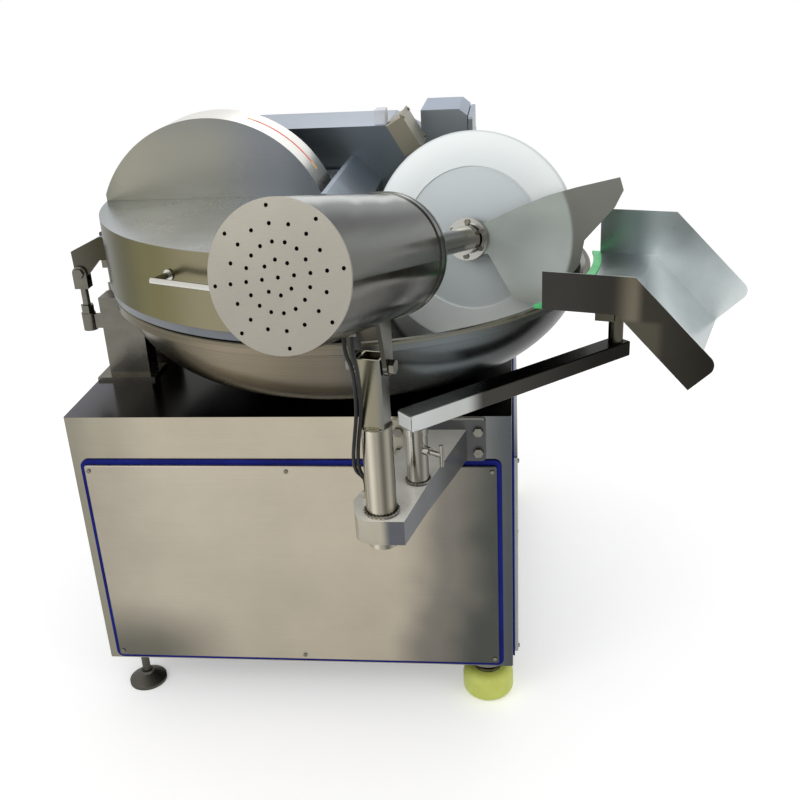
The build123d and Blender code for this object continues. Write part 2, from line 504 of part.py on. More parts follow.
def bearing_arm():
    """A nose over the bowl, a neck over its rim and a leg on the cabinet, with the shaft's three bearings."""
    arm = side_cut([(ARM_FRONT, ARM_NECK_LOW), (ARM_FRONT, ARM_TOP), (ARM_REAR, ARM_TOP), (ARM_REAR, CAB_TOP),
                    (ARM_LEG_FRONT, CAB_TOP), (ARM_LEG_FRONT, ARM_NECK_LOW)],
                   KNIFE_X - ARM_HALF, KNIFE_X + ARM_HALF)
    arm = fillet(arm.edges().filter_by(Axis.Y).group_by(Axis.Z)[-1], ARM_ROUND)
    arm += along_y(ARM_FRONT, ARM_FRONT + ARM_NOSE_LONG, ARM_NOSE_R)
    arm -= along_y(ARM_FRONT - 1, ARM_REAR + 1, SHAFT_R + ARM_SHAFT_ROOM)
    seats = (ARM_FRONT, ARM_FRONT + ARM_NOSE_LONG - KNIFE_BEARING_LONG, ARM_REAR - KNIFE_BEARING_LONG)
    for y in seats:
        arm -= along_y(y, y + KNIFE_BEARING_LONG, ARM_BORE)
    half = ARM_HALF + ARM_FOOT_WIDE
    arm += block(KNIFE_X - half, KNIFE_X + half, ARM_LEG_FRONT, ARM_REAR, CAB_TOP, CAB_TOP + ARM_FOOT_TALL)
    parts["knife_bearing_arm"] = arm
    bearings.extend(along_y(y, y + KNIFE_BEARING_LONG, ARM_BORE - FIXED)
                    - along_y(y - 1, y + KNIFE_BEARING_LONG + 1, SHAFT_R + RUN) for y in seats)
    parts["shaft_bearings"] = Compound(bearings)


def grooved(radius, x, z):
    """A pulley round the Y axis with V grooves under the belt."""
    y0, y1 = PULLEY_Y - PULLEY_WIDE / 2, PULLEY_Y + PULLEY_WIDE / 2
    pitch = BELT_WIDE / GROOVES
    half = pitch * GROOVE_SHARE / 2
    points = [(0, y0), (radius, y0)]
    for k in range(GROOVES):
        mid = PULLEY_Y - BELT_WIDE / 2 + pitch * (k + 0.5)
        points += [(radius, mid - half), (radius - GROOVE_DEEP, mid), (radius, mid + half)]
    points += [(radius, y1), (0, y1)]
    wheel = revolve(outline(points), Axis.Y)
    return Pos(x, 0, z) * wheel


def pulleys():
    parts["knife_pulley"] = grooved(KNIFE_PULLEY_R, KNIFE_X, KNIFE_Z) - along_y(0, CAB_BACK, SHAFT_R)
    motor_bore = along_y(0, CAB_BACK, MOTOR_SHAFT_R, z=MOTOR_Z)
    parts["motor_pulley"] = grooved(MOTOR_PULLEY_R, KNIFE_X, MOTOR_Z) - motor_bore
    parts["drive_belt"] = belt_loop(BELT_THICK) - belt_loop(0)


def belt_loop(extra):
    """The space inside the belt's outer face, or inside its inner face when extra is 0."""
    small, large = KNIFE_PULLEY_R + SEAT + extra, MOTOR_PULLEY_R + SEAT + extra
    span = KNIFE_Z - MOTOR_Z
    lean = asin((large - small) / span)
    grow = 0 if extra else 1
    y0, y1 = PULLEY_Y - BELT_WIDE / 2 - grow, PULLEY_Y + BELT_WIDE / 2 + grow
    corners = ((1, small, KNIFE_Z), (1, large, MOTOR_Z), (-1, large, MOTOR_Z), (-1, small, KNIFE_Z))
    points = [(KNIFE_X + side * r * cos(lean), z + r * sin(lean)) for side, r, z in corners]
    return front_cut(points, y0, y1) + along_y(y0, y1, small) + along_y(y0, y1, large, z=MOTOR_Z)


def motor():
    fan_end, cap_start = MOTOR_FRONT + MOTOR_FAN, MOTOR_REAR - MOTOR_CAP
    body = along_y(fan_end, MOTOR_REAR, MOTOR_R - 12, z=MOTOR_Z)
    body += along_y(MOTOR_FRONT, fan_end, MOTOR_R, z=MOTOR_Z)
    body += along_y(cap_start, MOTOR_REAR, MOTOR_R, z=MOTOR_Z)
    fin = block(-MOTOR_FIN_THICK / 2, MOTOR_FIN_THICK / 2, 0, cap_start - fan_end, 0, MOTOR_FIN_TALL)
    for k in range(MOTOR_FINS):
        turn = Rot(0, 360 / MOTOR_FINS * k, 0)
        body += Pos(KNIFE_X, fan_end, MOTOR_Z) * turn * Pos(0, 0, MOTOR_R - MOTOR_FIN_TALL) * fin
    base = CAB_BOTTOM + RAIL
    for x in (KNIFE_X - MOTOR_FOOT_X, KNIFE_X + MOTOR_FOOT_X):
        body += block(x - MOTOR_FOOT_HALF, x + MOTOR_FOOT_HALF, MOTOR_FRONT + 40, MOTOR_REAR - 30,
                      base, base + MOTOR_FOOT)
        body += block(x - MOTOR_WEB_HALF, x + MOTOR_WEB_HALF, fan_end, MOTOR_REAR - 40, base, MOTOR_Z - 60)
    width, front, rear, above = TERMINAL_BOX
    body += block(KNIFE_X - width / 2, KNIFE_X + width / 2, front, rear,
                  MOTOR_Z + 100, MOTOR_Z + MOTOR_R + above)
    body -= along_y(MOTOR_REAR - MOTOR_SHAFT_IN - 2, MOTOR_REAR + 1, MOTOR_SHAFT_R + RUN, z=MOTOR_Z)
    parts["main_motor"] = body
    parts["motor_shaft"] = along_y(MOTOR_REAR - MOTOR_SHAFT_IN, PULLEY_Y + PULLEY_WIDE / 2, MOTOR_SHAFT_R,
                                   z=MOTOR_Z)


# ---- hood, fixed cover, lid -------------------------------------------------------------------------
def hood_profile(inset):
    left, right, top = HOOD_LEFT + inset, HOOD_RIGHT - inset, HOOD_TOP - inset
    shoulder_x = HOOD_SHOULDER_X - 0.4 * inset
    return [(left, CAB_TOP - inset), (left, HOOD_TOP - HOOD_SHOULDER_Z), (left + shoulder_x, top),
            (right - shoulder_x, top), (right, HOOD_TOP - HOOD_SHOULDER_Z), (right, CAB_TOP - inset)]


def hood_side(inset):
    front, back, top = HOOD_FRONT + inset, HOOD_BACK - inset, HOOD_TOP - inset
    leg = HOOD_LEG_FRONT + inset
    return [(front, HOOD_LOW + inset), (front, top), (HOOD_TOP_BACK, top), (back, HOOD_REAR_TOP - inset),
            (back, CAB_TOP - inset), (leg, CAB_TOP - inset), (leg, HOOD_LOW + inset)]


def hood():
    def body(inset):
        return side_cut(hood_side(inset), HOOD_LEFT - 1, HOOD_RIGHT + 1) \
            & front_cut(hood_profile(inset), HOOD_FRONT - 5, HOOD_BACK + 5)
    shell = body(0) - body(SHEET)
    clear = SHAFT_R + 12
    shell -= along_y(HOOD_FRONT - 5, HOOD_FRONT + 15, clear)
    shell -= block(KNIFE_X - clear, KNIFE_X + clear, HOOD_FRONT - 5, HOOD_FRONT + 15, HOOD_LOW - 5, KNIFE_Z)
    # the underside is open round the bearing arm's neck
    half = ARM_HALF + SEAT
    shell -= block(KNIFE_X - half, KNIFE_X + half, HOOD_FRONT + SHEET, HOOD_LEG_FRONT + SHEET + 1,
                   HOOD_LOW - 2, HOOD_LOW + SHEET + 1)
    shell -= block(KNIFE_X - half, KNIFE_X + half, HOOD_LEG_FRONT - 1, HOOD_LEG_FRONT + SHEET + 1,
                   ARM_NECK_LOW - SEAT, HOOD_LOW)
    parts["spindle_hood"] = shell


def fixed_cover():
    def body(inset, low):
        left, right, top = COVER_LEFT + inset, COVER_RIGHT - inset, COVER_TOP - inset
        points = [(left, low), (left, top), (COVER_RIDGE, top), (right, COVER_SHOULDER - 0.4 * inset),
                  (right, low)]
        return front_cut(points, COVER_FRONT + inset, COVER_BACK)
    parts["fixed_cover"] = body(0, COVER_LOW) - body(SHEET, COVER_LOW - 1)


def lid_space(inset):
    """The lid's outer form, or its inside when inset is the sheet's thickness."""
    low = LID_LOW - (1 if inset else 0)
    flat = Pos(0, 0, low) * disk(LID_R - inset, LID_TOP - inset - low)
    drum = along_y(DRUM_FRONT + inset, DRUM_BACK - inset, DRUM_R - inset, DRUM_X, DRUM_Z)
    tall = Pos(0, 0, low) * disk(LID_R - inset, 2 * DRUM_R)
    keep = block(-2 * LID_R, LID_RIGHT - inset, -2 * LID_R, LID_BACK - inset, low, low + 2 * DRUM_R)
    return (flat + (drum & tall)) & keep


def lid():
    shell = lid_space(0) - lid_space(SHEET)
    shell -= block(KNIFE_X - SHAFT_SLOT, KNIFE_X + SHAFT_SLOT, LID_BACK - 20, LID_BACK + 5,
                   LID_LOW - 5, KNIFE_Z)
    shell -= along_y(LID_BACK - 20, LID_BACK + 5, SHAFT_SLOT)
    lug_end = 14 - LID_R
    lug_outline = [(PIN_X - 12, PIN_Z - 11), (PIN_X - 14, PIN_Z + 52), (PIN_X + 60, PIN_Z + 86),
                   (lug_end, PIN_Z + 86), (lug_end, PIN_Z + 30), (PIN_X + 52, PIN_Z + 30),
                   (PIN_X + 14, PIN_Z - 11)]
    for y in HINGE_YS:
        skin = -sqrt(LID_R ** 2 - y ** 2)
        points = [(x if x < -LID_R else skin + 1.0, z) for x, z in lug_outline]
        lug = front_cut(points, y - LUG_THICK / 2, y + LUG_THICK / 2)
        lug -= along_y(y - 30, y + 30, PIN_R + RUN, PIN_X, PIN_Z)
        shell += lug
    parts["lid_shell"] = shell


def lid_handle():
    half = HANDLE_LONG / 2
    foot_x = half - HANDLE_R
    local = Rot(0, 0, -HANDLE_ANGLE) * Pos(0, -LID_R, HANDLE_Z)
    sag = LID_R - sqrt(LID_R ** 2 - half ** 2)
    bar = rod((-half, -HANDLE_OFF, 0), (half, -HANDLE_OFF, 0), HANDLE_R)
    for side in (-1, 1):
        bar += rod((side * foot_x, sag - 0.6, 0), (side * foot_x, -HANDLE_OFF, 0), HANDLE_R)
        bar += rod((side * foot_x, sag + 0.2, 0), (side * foot_x, sag - 5, 0), HANDLE_R + HANDLE_FOOT)
    gap = Pos(0, 0, LID_LOW) * disk(LID_R, LID_TOP - LID_LOW)
    parts["lid_handle"] = local * bar - gap


def lid_hinges():
    pins, forks, nuts, posts = [], [], [], []
    for y in HINGE_YS:
        half = LUG_THICK / 2 + SEAT + EAR_THICK
        pin = along_y(y - half, y + half, PIN_R, PIN_X, PIN_Z)
        for at_y, tall in ((y - half, PIN_HEAD_TALL), (y + half + PIN_NUT_TALL, PIN_NUT_TALL)):
            pin += Pos(PIN_X, at_y, PIN_Z) * Rot(90, 0, 0) * hex_head(PIN_HEAD_AF, tall)
        pins.append(pin)
        ears = block(PIN_X - FORK_HALF, PIN_X + FORK_HALF, y - half, y + half, PIN_Z - FORK_LOW, PIN_Z)
        ears += along_y(y - half, y + half, FORK_HALF, PIN_X, PIN_Z)
        slot = LUG_THICK / 2 + SEAT
        ears -= block(PIN_X - 40, PIN_X + 40, y - slot, y + slot, PIN_Z - FORK_SLOT_LOW, PIN_Z + 40)
        ears -= along_y(y - half - 1, y + half + 1, PIN_R + FIXED, PIN_X, PIN_Z)
        ears += rod((PIN_X, y, BARREL_LOW + 12), (PIN_X, y, PIN_Z - FORK_LOW), HINGE_ROD_R)
        forks.append(ears)
        nuts.append(Pos(PIN_X, y, BARREL_HIGH) * hex_head(HINGE_NUT_AF, HINGE_NUT_TALL)
                    - rod((PIN_X, y, BARREL_HIGH - 1), (PIN_X, y, BARREL_HIGH + 40), HINGE_ROD_R))
        front, back = y - POST_DEEP / 2, y + POST_DEEP / 2
        foot = CAB_TOP + POST_PLATE
        slope_in, slope_down = POST_SLOPE
        post = front_cut([(POST_LEFT, foot), (POST_LEFT, POST_TOP), (POST_RIGHT - slope_in, POST_TOP),
                          (POST_RIGHT, POST_TOP - slope_down), (POST_RIGHT, foot)], front, back)
        post -= block(POST_LEFT + POST_WALL, POST_RIGHT - POST_WALL, front + POST_WALL, back - POST_WALL,
                      CAB_TOP, POST_TOP - slope_down - POST_WALL - 1)
        post += block(PIN_X, POST_LEFT + POST_WALL, y - BARREL_WEB_HALF, y + BARREL_WEB_HALF,
                      BARREL_LOW + BARREL_WEB_IN, BARREL_HIGH - BARREL_WEB_IN)
        post += block(POST_LEFT - POST_PLATE_LEFT, POST_RIGHT + POST_PLATE_RIGHT,
                      front - POST_PLATE_SIDE, back + POST_PLATE_SIDE, CAB_TOP, foot)
        post += rod((PIN_X, y, BARREL_LOW), (PIN_X, y, BARREL_HIGH), BARREL_R)
        post -= rod((PIN_X, y, BARREL_LOW + 10), (PIN_X, y, BARREL_HIGH + 1), HINGE_ROD_R + FIXED)
        posts.append(post)
    parts["hinge_pins"] = Compound(pins)
    parts["hinge_forks"] = Compound(forks)
    parts["hinge_lock_nuts"] = Compound(nuts)
    parts["lid_posts"] = Compound(posts)


# ---- switch box and electrical cabinet --------------------------------------------------------------
def electrics():
    slope = degrees(atan2(HOOD_SHOULDER_Z, HOOD_SHOULDER_X))
    shoulder = HOOD_RIGHT - HOOD_SHOULDER_X
    place = Pos(shoulder, HOOD_FRONT, HOOD_TOP) * Rot(0, slope, 0)
    box = block(0, SWITCH_LONG, 0, SWITCH_DEEP, 0, SWITCH_THICK)
    box = fillet(box.edges().filter_by(Axis.Z), SWITCH_CORNER)
    cover_top = SWITCH_THICK + SWITCH_COVER
    cover = block(-SWITCH_LIP, SWITCH_LONG + SWITCH_LIP, -SWITCH_LIP, SWITCH_DEEP + SWITCH_LIP,
                  SWITCH_THICK, cover_top)
    heads = [Pos(u, v, cover_top) * disk(SWITCH_SCREW_R, SWITCH_SCREW_TALL)
             for u in (SWITCH_SCREW_IN, SWITCH_LONG - SWITCH_SCREW_IN)
             for v in (SWITCH_SCREW_IN, SWITCH_DEEP - SWITCH_SCREW_IN)]
    parts["switch_box"] = place * (box + cover + heads)
    plug = block(shoulder - 30, shoulder - 2, HOOD_FRONT + 20, HOOD_FRONT + 75, HOOD_TOP, HOOD_TOP + 34)
    parts["connector_block"] = fillet(plug.edges().filter_by(Axis.Z), 4)


def electrical_box():
    right = ELEC_RIGHT - DOOR_THICK - DOOR_GAP
    slope_in, slope_down = ELEC_SLOPE
    shell = front_cut([(ELEC_LEFT, CAB_TOP), (ELEC_LEFT, ELEC_TOP), (right - slope_in, ELEC_TOP),
                       (right, ELEC_TOP - slope_down), (right, CAB_TOP)], ELEC_FRONT, ELEC_BACK)
    hollow = block(ELEC_LEFT + SHEET, right + 5, ELEC_FRONT + 18, ELEC_BACK - 18, CAB_TOP + 30, ELEC_TOP - 40)
    shell -= hollow
    hinge_y, hinge_x = ELEC_BACK + DOOR_PIN_BEHIND, ELEC_RIGHT - DOOR_THICK / 2
    hinge_zs = (CAB_TOP + DOOR_HINGE_LOW, ELEC_TOP - DOOR_HINGE_HIGH)
    for z in hinge_zs:
        low, mid, high = z - DOOR_HINGE_HALF, z + 1, z + DOOR_HINGE_HALF
        shell += block(right - 30, right - 6, ELEC_BACK, ELEC_BACK + SHEET, low, high)
        shell += block(right - 6, hinge_x, hinge_y - 2, hinge_y + 2, mid, high)
        shell += block(right - 9, right - 6, ELEC_BACK, hinge_y + 2, mid, high)
        shell += rod((hinge_x, hinge_y, mid), (hinge_x, hinge_y, high), DOOR_PIN_R + DOOR_KNUCKLE)
        shell += rod((hinge_x, hinge_y, low), (hinge_x, hinge_y, mid), DOOR_PIN_R)
    parts["electrical_cabinet"] = shell
    door = block(ELEC_RIGHT - DOOR_THICK, ELEC_RIGHT, ELEC_FRONT, ELEC_BACK,
                 CAB_TOP + DOOR_LOW, ELEC_TOP - DOOR_HIGH)
    door = fillet(door.edges().filter_by(Axis.X), DOOR_CORNER)
    for z in hinge_zs:
        low = z - DOOR_HINGE_HALF
        door += rod((hinge_x, hinge_y, low), (hinge_x, hinge_y, z), DOOR_PIN_R + DOOR_KNUCKLE)
        door += block(hinge_x, ELEC_RIGHT, ELEC_BACK - 2, hinge_y, low, z)
        door -= rod((hinge_x, hinge_y, low - 1), (hinge_x, hinge_y, z + 1), DOOR_PIN_R + RUN)
    latch_y, latch_z = ELEC_FRONT + LATCH_IN, (CAB_TOP + ELEC_TOP) / 2
    door += rod((ELEC_RIGHT, latch_y, latch_z), (ELEC_RIGHT + LATCH_PROUD, latch_y, latch_z), LATCH_R)
    parts["electrical_door"] = door


# ---- disc unloader ----------------------------------------------------------------------------------
turn, tilt = radians(AXIS_TURN), radians(AXIS_TILT)
AXIS = Vector(-sin(turn) * cos(tilt), -cos(turn) * cos(tilt), sin(tilt))
ACROSS = Vector(cos(turn), -sin(turn), 0)
UNLOADER = Plane(origin=DISC_AT, x_dir=ACROSS, z_dir=AXIS)
PIVOT = UNLOADER.to_local_coords(Vector(POST_X, POST_Y, PIVOT_Z))


def along_w(w0, w1, radius, u=0.0, v=0.0):
    return rod((u, v, w0), (u, v, w1), radius)


def disc():
    body = along_w(-DISC_THICK, 0, DISC_R) - along_w(-DISC_STEP, 1, DISC_STEP_R)
    body = UNLOADER * (body - along_w(-50, 50, DISC_SHAFT_R))
    parts["unloading_disc"] = body
    nut_w = -DISC_THICK - DISC_NUT_TALL
    shaft = along_w(nut_w, HOUSING_REAR_W + DISC_SHAFT_IN, DISC_SHAFT_R)
    shaft += along_w(-DISC_STEP, FLANGE_W - DISC_HUB_GAP, DISC_HUB_R)
    shaft += Pos(0, 0, nut_w) * hex_head(DISC_NUT_AF, DISC_NUT_TALL)
    parts["disc_shaft"] = UNLOADER * shaft


def flange_screw_spots():
    angles = [radians(360 / FLANGE_SCREWS * (k + 0.5)) for k in range(FLANGE_SCREWS)]
    return [(FLANGE_SCREW_AT * cos(a), FLANGE_SCREW_AT * sin(a)) for a in angles]


def scraper():
    """A blade that follows the trough beside the disc, with a flap that reaches out over the rim."""
    front, rear = SCRAPER_W, SCRAPER_W + SCRAPER_THICK
    blade = outline([(-4, 30), (38, 37), (108, 71), (171, 97), (230, 115), (247, 58), (252, 6), (244, -46),
                     (205, -100), (161, -136), (107, -125), (46, -30), (-4, -34)])
    plate = Pos(0, 0, front) * extrude(blade, SCRAPER_THICK) + along_w(front, rear, FLANGE_R)
    plate -= along_w(front - 1, rear + 5, DISC_SHAFT_R + ARM_BORE_ROOM)
    for u, v in flange_screw_spots():
        plate -= along_w(front - 1, rear + 5, FLANGE_SCREW_R + FIXED, u, v)
    flap = outline([(230, 115), (318, 137), (327, 111), (311, 76), (274, 32), (252, 6), (247, 58)])
    plate += Pos(0, 0, front) * extrude(flap, SCRAPER_THICK)
    parts["scraper"] = UNLOADER * plate


def unloader_body():
    rear, cover = HOUSING_REAR_W, HOUSING_COVER_W
    shell = along_w(rear, cover - SHEET, HOUSING_R) - along_w(rear + SHEET, cover, HOUSING_R - HOUSING_WALL)
    shell += along_w(rear, rear + RING_LONG, HOUSING_R + RING_PROUD) \
        - along_w(rear + 1, rear + RING_LONG + 1, HOUSING_R - 1)
    shell -= along_w(rear - 1, rear + 10, ARM_TUBE_R)
    # ears that hang the housing on its pivot
    half = SQUARE / 2 + EAR_GAP
    foot_start, foot_end, foot_deep = EAR_FOOT
    for u0 in (PIVOT.X + half, PIVOT.X - half - EAR_PLATE):
        ear = outline([(PIVOT.Z - EAR_R, -PIVOT.Y), (PIVOT.Z + EAR_R, -PIVOT.Y),
                       (rear + foot_end, HOUSING_R - foot_deep), (rear + foot_start, HOUSING_R - foot_deep)])
        ear = extrude(Plane(origin=(u0, 0, 0), x_dir=(0, 0, 1), z_dir=(1, 0, 0)) * ear, EAR_PLATE)
        ear += rod((u0, PIVOT.Y, PIVOT.Z), (u0 + EAR_PLATE, PIVOT.Y, PIVOT.Z), EAR_R)
        ear -= rod((u0 - 1, PIVOT.Y, PIVOT.Z), (u0 + EAR_PLATE + 1, PIVOT.Y, PIVOT.Z), PIVOT_R + RUN)
        ear -= along_w(rear - 100, cover, HOUSING_R - 1)
        ear -= along_w(rear - 60, rear + 0.5, HOUSING_R + 3)
        shell += ear
    for u in gland_us():
        low = -HOUSING_R - GLAND_LONG
        inside = sqrt((HOUSING_R - HOUSING_WALL) ** 2 - u ** 2)
        shell += rod((u, low, GLAND_W), (u, 3 - inside, GLAND_W), GLAND_R)
    parts["motor_housing"] = UNLOADER * shell


def gland_us():
    return GLAND_U, GLAND_U - GLAND_PITCH


def housing_ends():
    """The vented cover at the free end, and the seal and plate where the arm tube leaves."""
    rear, cover = HOUSING_REAR_W, HOUSING_COVER_W
    inside = HOUSING_R - HOUSING_WALL
    plate = along_w(cover - SHEET, cover + 1, HOUSING_R)
    plate += tube((0, 0, cover - COVER_SKIRT), (0, 0, cover - SHEET), inside - 0.1, inside - 3)
    spots = [(0.0, 0.0)]
    for share, count in VENT_RINGS:
        angles = [radians(VENT_TURN + 360 * k / count) for k in range(count)]
        spots += [(share * HOUSING_R * cos(a), share * HOUSING_R * sin(a)) for a in angles]
    for u, v in spots:
        plate -= along_w(cover - 5, cover + 2, VENT_R, u, v)
    parts["vented_end_cover"] = UNLOADER * plate
    seal_w = rear - END_SEAL
    parts["housing_seal"] = UNLOADER * tube((0, 0, seal_w), (0, 0, rear), HOUSING_R + 1, HOUSING_R - 30)
    cap = along_w(seal_w - END_PLATE, seal_w, HOUSING_R + RING_PROUD) - along_w(rear - 30, rear, ARM_TUBE_R)
    cap = fillet(cap.faces().sort_by(Axis.Z)[0].edges().sort_by(SortBy.LENGTH)[-1], END_PLATE_ROUND)
    parts["housing_end_plate"] = UNLOADER * cap


def arm_and_gearmotor():
    rear = HOUSING_REAR_W
    bore = DISC_SHAFT_R + ARM_BORE_ROOM
    ring_w = SCRAPER_W + SCRAPER_THICK
    ring_top = ring_w + FLANGE_RING
    arm = tube((0, 0, ring_w), (0, 0, rear + SHEET), ARM_TUBE_R, bore)
    arm += tube((0, 0, ring_w), (0, 0, ring_top), FLANGE_R, bore)
    sleeve_w = ring_top + SLEEVE_GAP
    arm += tube((0, 0, sleeve_w), (0, 0, sleeve_w + SLEEVE_LONG), SLEEVE_R, ARM_TUBE_R - 1)
    front = tube((0, 0, FLANGE_W), (0, 0, SCRAPER_W), FLANGE_R, DISC_SHAFT_R + RUN)
    screws = []
    for u, v in flange_screw_spots():
        hole = along_w(FLANGE_W - 1, ring_top + 1, FLANGE_SCREW_R + FIXED, u, v)
        front, arm = front - hole, arm - hole
        head = Pos(u, v, ring_top) * hex_head(FLANGE_SCREW_AF, FLANGE_SCREW_TALL)
        screws.append(UNLOADER * (along_w(FLANGE_W, ring_top, FLANGE_SCREW_R, u, v) + head))
    parts["arm_tube"] = UNLOADER * Compound([front, arm])
    parts["flange_screws"] = Compound(screws)
    gear_w = rear + SHEET
    flange_end = gear_w + GEARMOTOR_FLANGE
    gear = along_w(gear_w, flange_end, GEARMOTOR_R + GEARMOTOR_FLANGE_R)
    gear += along_w(flange_end, rear + GEARMOTOR_LONG, GEARMOTOR_R)
    gear -= along_w(rear, rear + 60, DISC_SHAFT_R + RUN)
    parts["disc_gearmotor"] = UNLOADER * gear


# ---- post, bracket ----------------------------------------------------------------------------------
TUBE_LOW = STRAP_HIGH - TUBE_SUNK


def post_and_mast():
    x, y = POST_X, POST_Y
    parts["unloader_post"] = tube((x, y, TUBE_LOW), (x, y, TUBE_TOP), TUBE_R, TUBE_R - TUBE_WALL)
    facing = Pos(x, y, TUBE_TOP) * Rot(0, 0, -AXIS_TURN)
    stand = (Align.CENTER, Align.CENTER, Align.MIN)
    mast = Box(SQUARE, SQUARE, SQUARE_TOP - TUBE_TOP, align=stand)
    mast = fillet(mast.edges().filter_by(Axis.Z), SQUARE_CORNER)
    hollow = SQUARE - 2 * SQUARE_WALL
    mast -= Pos(0, 0, SQUARE_FLOOR) * Box(hollow, hollow, SQUARE_TOP, align=stand)
    mast = facing * mast + rod((x, y, TUBE_TOP - TENON_LONG), (x, y, TUBE_TOP), TUBE_R - TUBE_WALL - RUN)
    p = Vector(x, y, PIVOT_Z)
    far = ACROSS * 60
    mast -= rod(tuple(p - far), tuple(p + far), PIVOT_R + FIXED)
    parts["unloader_mast"] = mast
    reach = ACROSS * (SQUARE / 2 + EAR_GAP + EAR_PLATE + 1)
    bolt = rod(tuple(p - reach), tuple(p + reach), PIVOT_R)
    for side, tall in ((1, PIVOT_HEAD_TALL), (-1, PIVOT_NUT_TALL)):
        end = Plane(origin=p + reach * side, x_dir=(0, 0, 1), z_dir=ACROSS * side)
        bolt += end * hex_head(PIVOT_BOLT_AF, tall)
    parts["pivot_bolt"] = bolt


def bracket():
    x0, x1 = WALL_PLATE_X
    z0, z1 = CAB_TOP - PANEL_EDGE_TOP + SEAL_PROUD + 2, WALL_PLATE_HIGH
    back, front = CAB_FRONT, CAB_FRONT - WALL_PLATE_THICK
    plate = block(x0, x1, front, back, z0, z1)
    plate = fillet(plate.edges().filter_by(Axis.Y), WALL_PLATE_CORNER)
    left, right, nose = STRAP_NOSE
    wall_left, wall_right = STRAP_WALL_X
    form = outline([(wall_left, front + 1), (left, STRAP_NOSE_SIDE), (left + STRAP_NOSE_CUT, nose),
                    (right, nose), STRAP_BEND, (wall_right, front + 1)])
    form = fillet(form.vertices().sort_by(Axis.Y)[:2].sort_by(Axis.X)[0], STRAP_ROUND)
    inner = offset(form, -STRAP_THICK)
    arm = extrude(Pos(0, 0, STRAP_LOW_WALL) * form, STRAP_HIGH - STRAP_LOW_WALL)
    arm -= extrude(Pos(0, 0, STRAP_LOW_WALL - 1) * inner, STRAP_HIGH - STRAP_LOW_WALL - STRAP_THICK + 1)
    below = STRAP_LOW_WALL - 5
    arm -= side_cut([(front + 1, STRAP_LOW_WALL), (nose - 10, STRAP_LOW_NOSE), (nose - 10, below),
                     (front + 1, below)], left - 50, x1)
    arm -= block(left - 50, x1 + 50, front, back, below, STRAP_HIGH + 5)
    arm -= rod((POST_X, POST_Y, TUBE_LOW - 2), (POST_X, POST_Y, STRAP_HIGH + 5), TUBE_R + FIXED)
    plate += arm
    collar_top = STRAP_HIGH + WELD_COLLAR_TALL
    collars = ((POST_X, POST_Y, TUBE_R, POST_COLLAR), (COLUMN_X, COLUMN_Y, COLUMN_R, COLUMN_COLLAR))
    for x, y, radius, proud in collars:
        plate += tube((x, y, STRAP_HIGH), (x, y, collar_top), radius + proud, radius + FIXED)
    for gx, gy in foot_glands():
        plate += rod((gx, gy, STRAP_HIGH - 2), (gx, gy, STRAP_HIGH + FOOT_GLAND_LONG), GLAND_R)
    bolts = []
    for bx in (x0 + BRACKET_BOLT_IN, x1 - BRACKET_BOLT_IN):
        for bz in (z0 + BRACKET_BOLT_LOW, z1 - BRACKET_BOLT_HIGH):
            bolts.append(Pos(bx, front, bz) * Rot(90, 0, 0) * hex_head(BRACKET_BOLT_AF, BRACKET_BOLT_TALL)
                         + rod((bx, front, bz), (bx, back, bz), BRACKET_BOLT_R))
            plate -= rod((bx, front - 2, bz), (bx, back + 2, bz), BRACKET_BOLT_R + FIXED)
    parts["wall_bracket"] = plate
    parts["bracket_bolts"] = Compound(bolts)


# ---- cables from the housing down to the bracket ----------------------------------------------------
def foot_glands():
    x, y = CABLE_FOOT
    turn_to = radians(180 - CABLE_FOOT_TURN)
    return (x, y), (x + GLAND_PITCH * cos(turn_to), y + GLAND_PITCH * sin(turn_to))


def cable_points(index):
    """Control points of one cable, from the housing's gland to the bracket's gland."""
    u = gland_us()[index]
    start = UNLOADER.from_local_coords(Vector(u, -HOUSING_R - GLAND_LONG, GLAND_W))
    straight = UNLOADER.from_local_coords(Vector(u, -HOUSING_R - GLAND_LONG - CABLE_LEAD, GLAND_W))
    gx, gy = foot_glands()[index]
    foot = Vector(gx, gy, STRAP_HIGH + FOOT_GLAND_LONG)
    middle = []
    for x, y, z in CABLE_ROUTE:
        away = Vector(x - POST_X, y - POST_Y, 0).normalized() if z < TUBE_TOP else ACROSS * -1
        middle.append(Vector(x, y, z) + away * CABLE_GAP * index)
    return [start, straight, *middle, foot + Vector(0, 0, CABLE_TAIL), foot]


def corner_radii(points):
    """The radius of the round corner at each inner point, from the shorter of its two runs."""
    radii = []
    for a, b, c in zip(points, points[1:], points[2:]):
        before, after = b - a, c - b
        half_turn = radians(before.get_angle(after)) / 2
        radii.append(CORNER_SHARE * min(before.length, after.length) / tan(half_turn))
    return radii


def cables():
    for index, name in enumerate(("right_cable", "left_cable")):
        points = cable_points(index)
        radii = corner_radii(points)
        path = FilletPolyline(*points, radius=radii)
        section = Plane(origin=points[0], z_dir=points[1] - points[0]) * Circle(CABLE_R)
        parts[name] = sweep(section, path=path)
        print(name, "length", round(path.length, 1), "radii", [round(r) for r in radii],
              "runs", [round((b - a).length) for a, b in zip(points, points[1:])],
              "volume", round(parts[name].volume), "of", round(pi * CABLE_R ** 2 * path.length))


# ---- chute ------------------------------------------------------------------------------------------
CHUTE_ALONG = (cos(radians(CHUTE_TURN)), sin(radians(CHUTE_TURN)), 0)
CHUTE = Plane(origin=(*CHUTE_START, CHUTE_FLOOR), x_dir=CHUTE_ALONG, z_dir=(0, 0, 1))


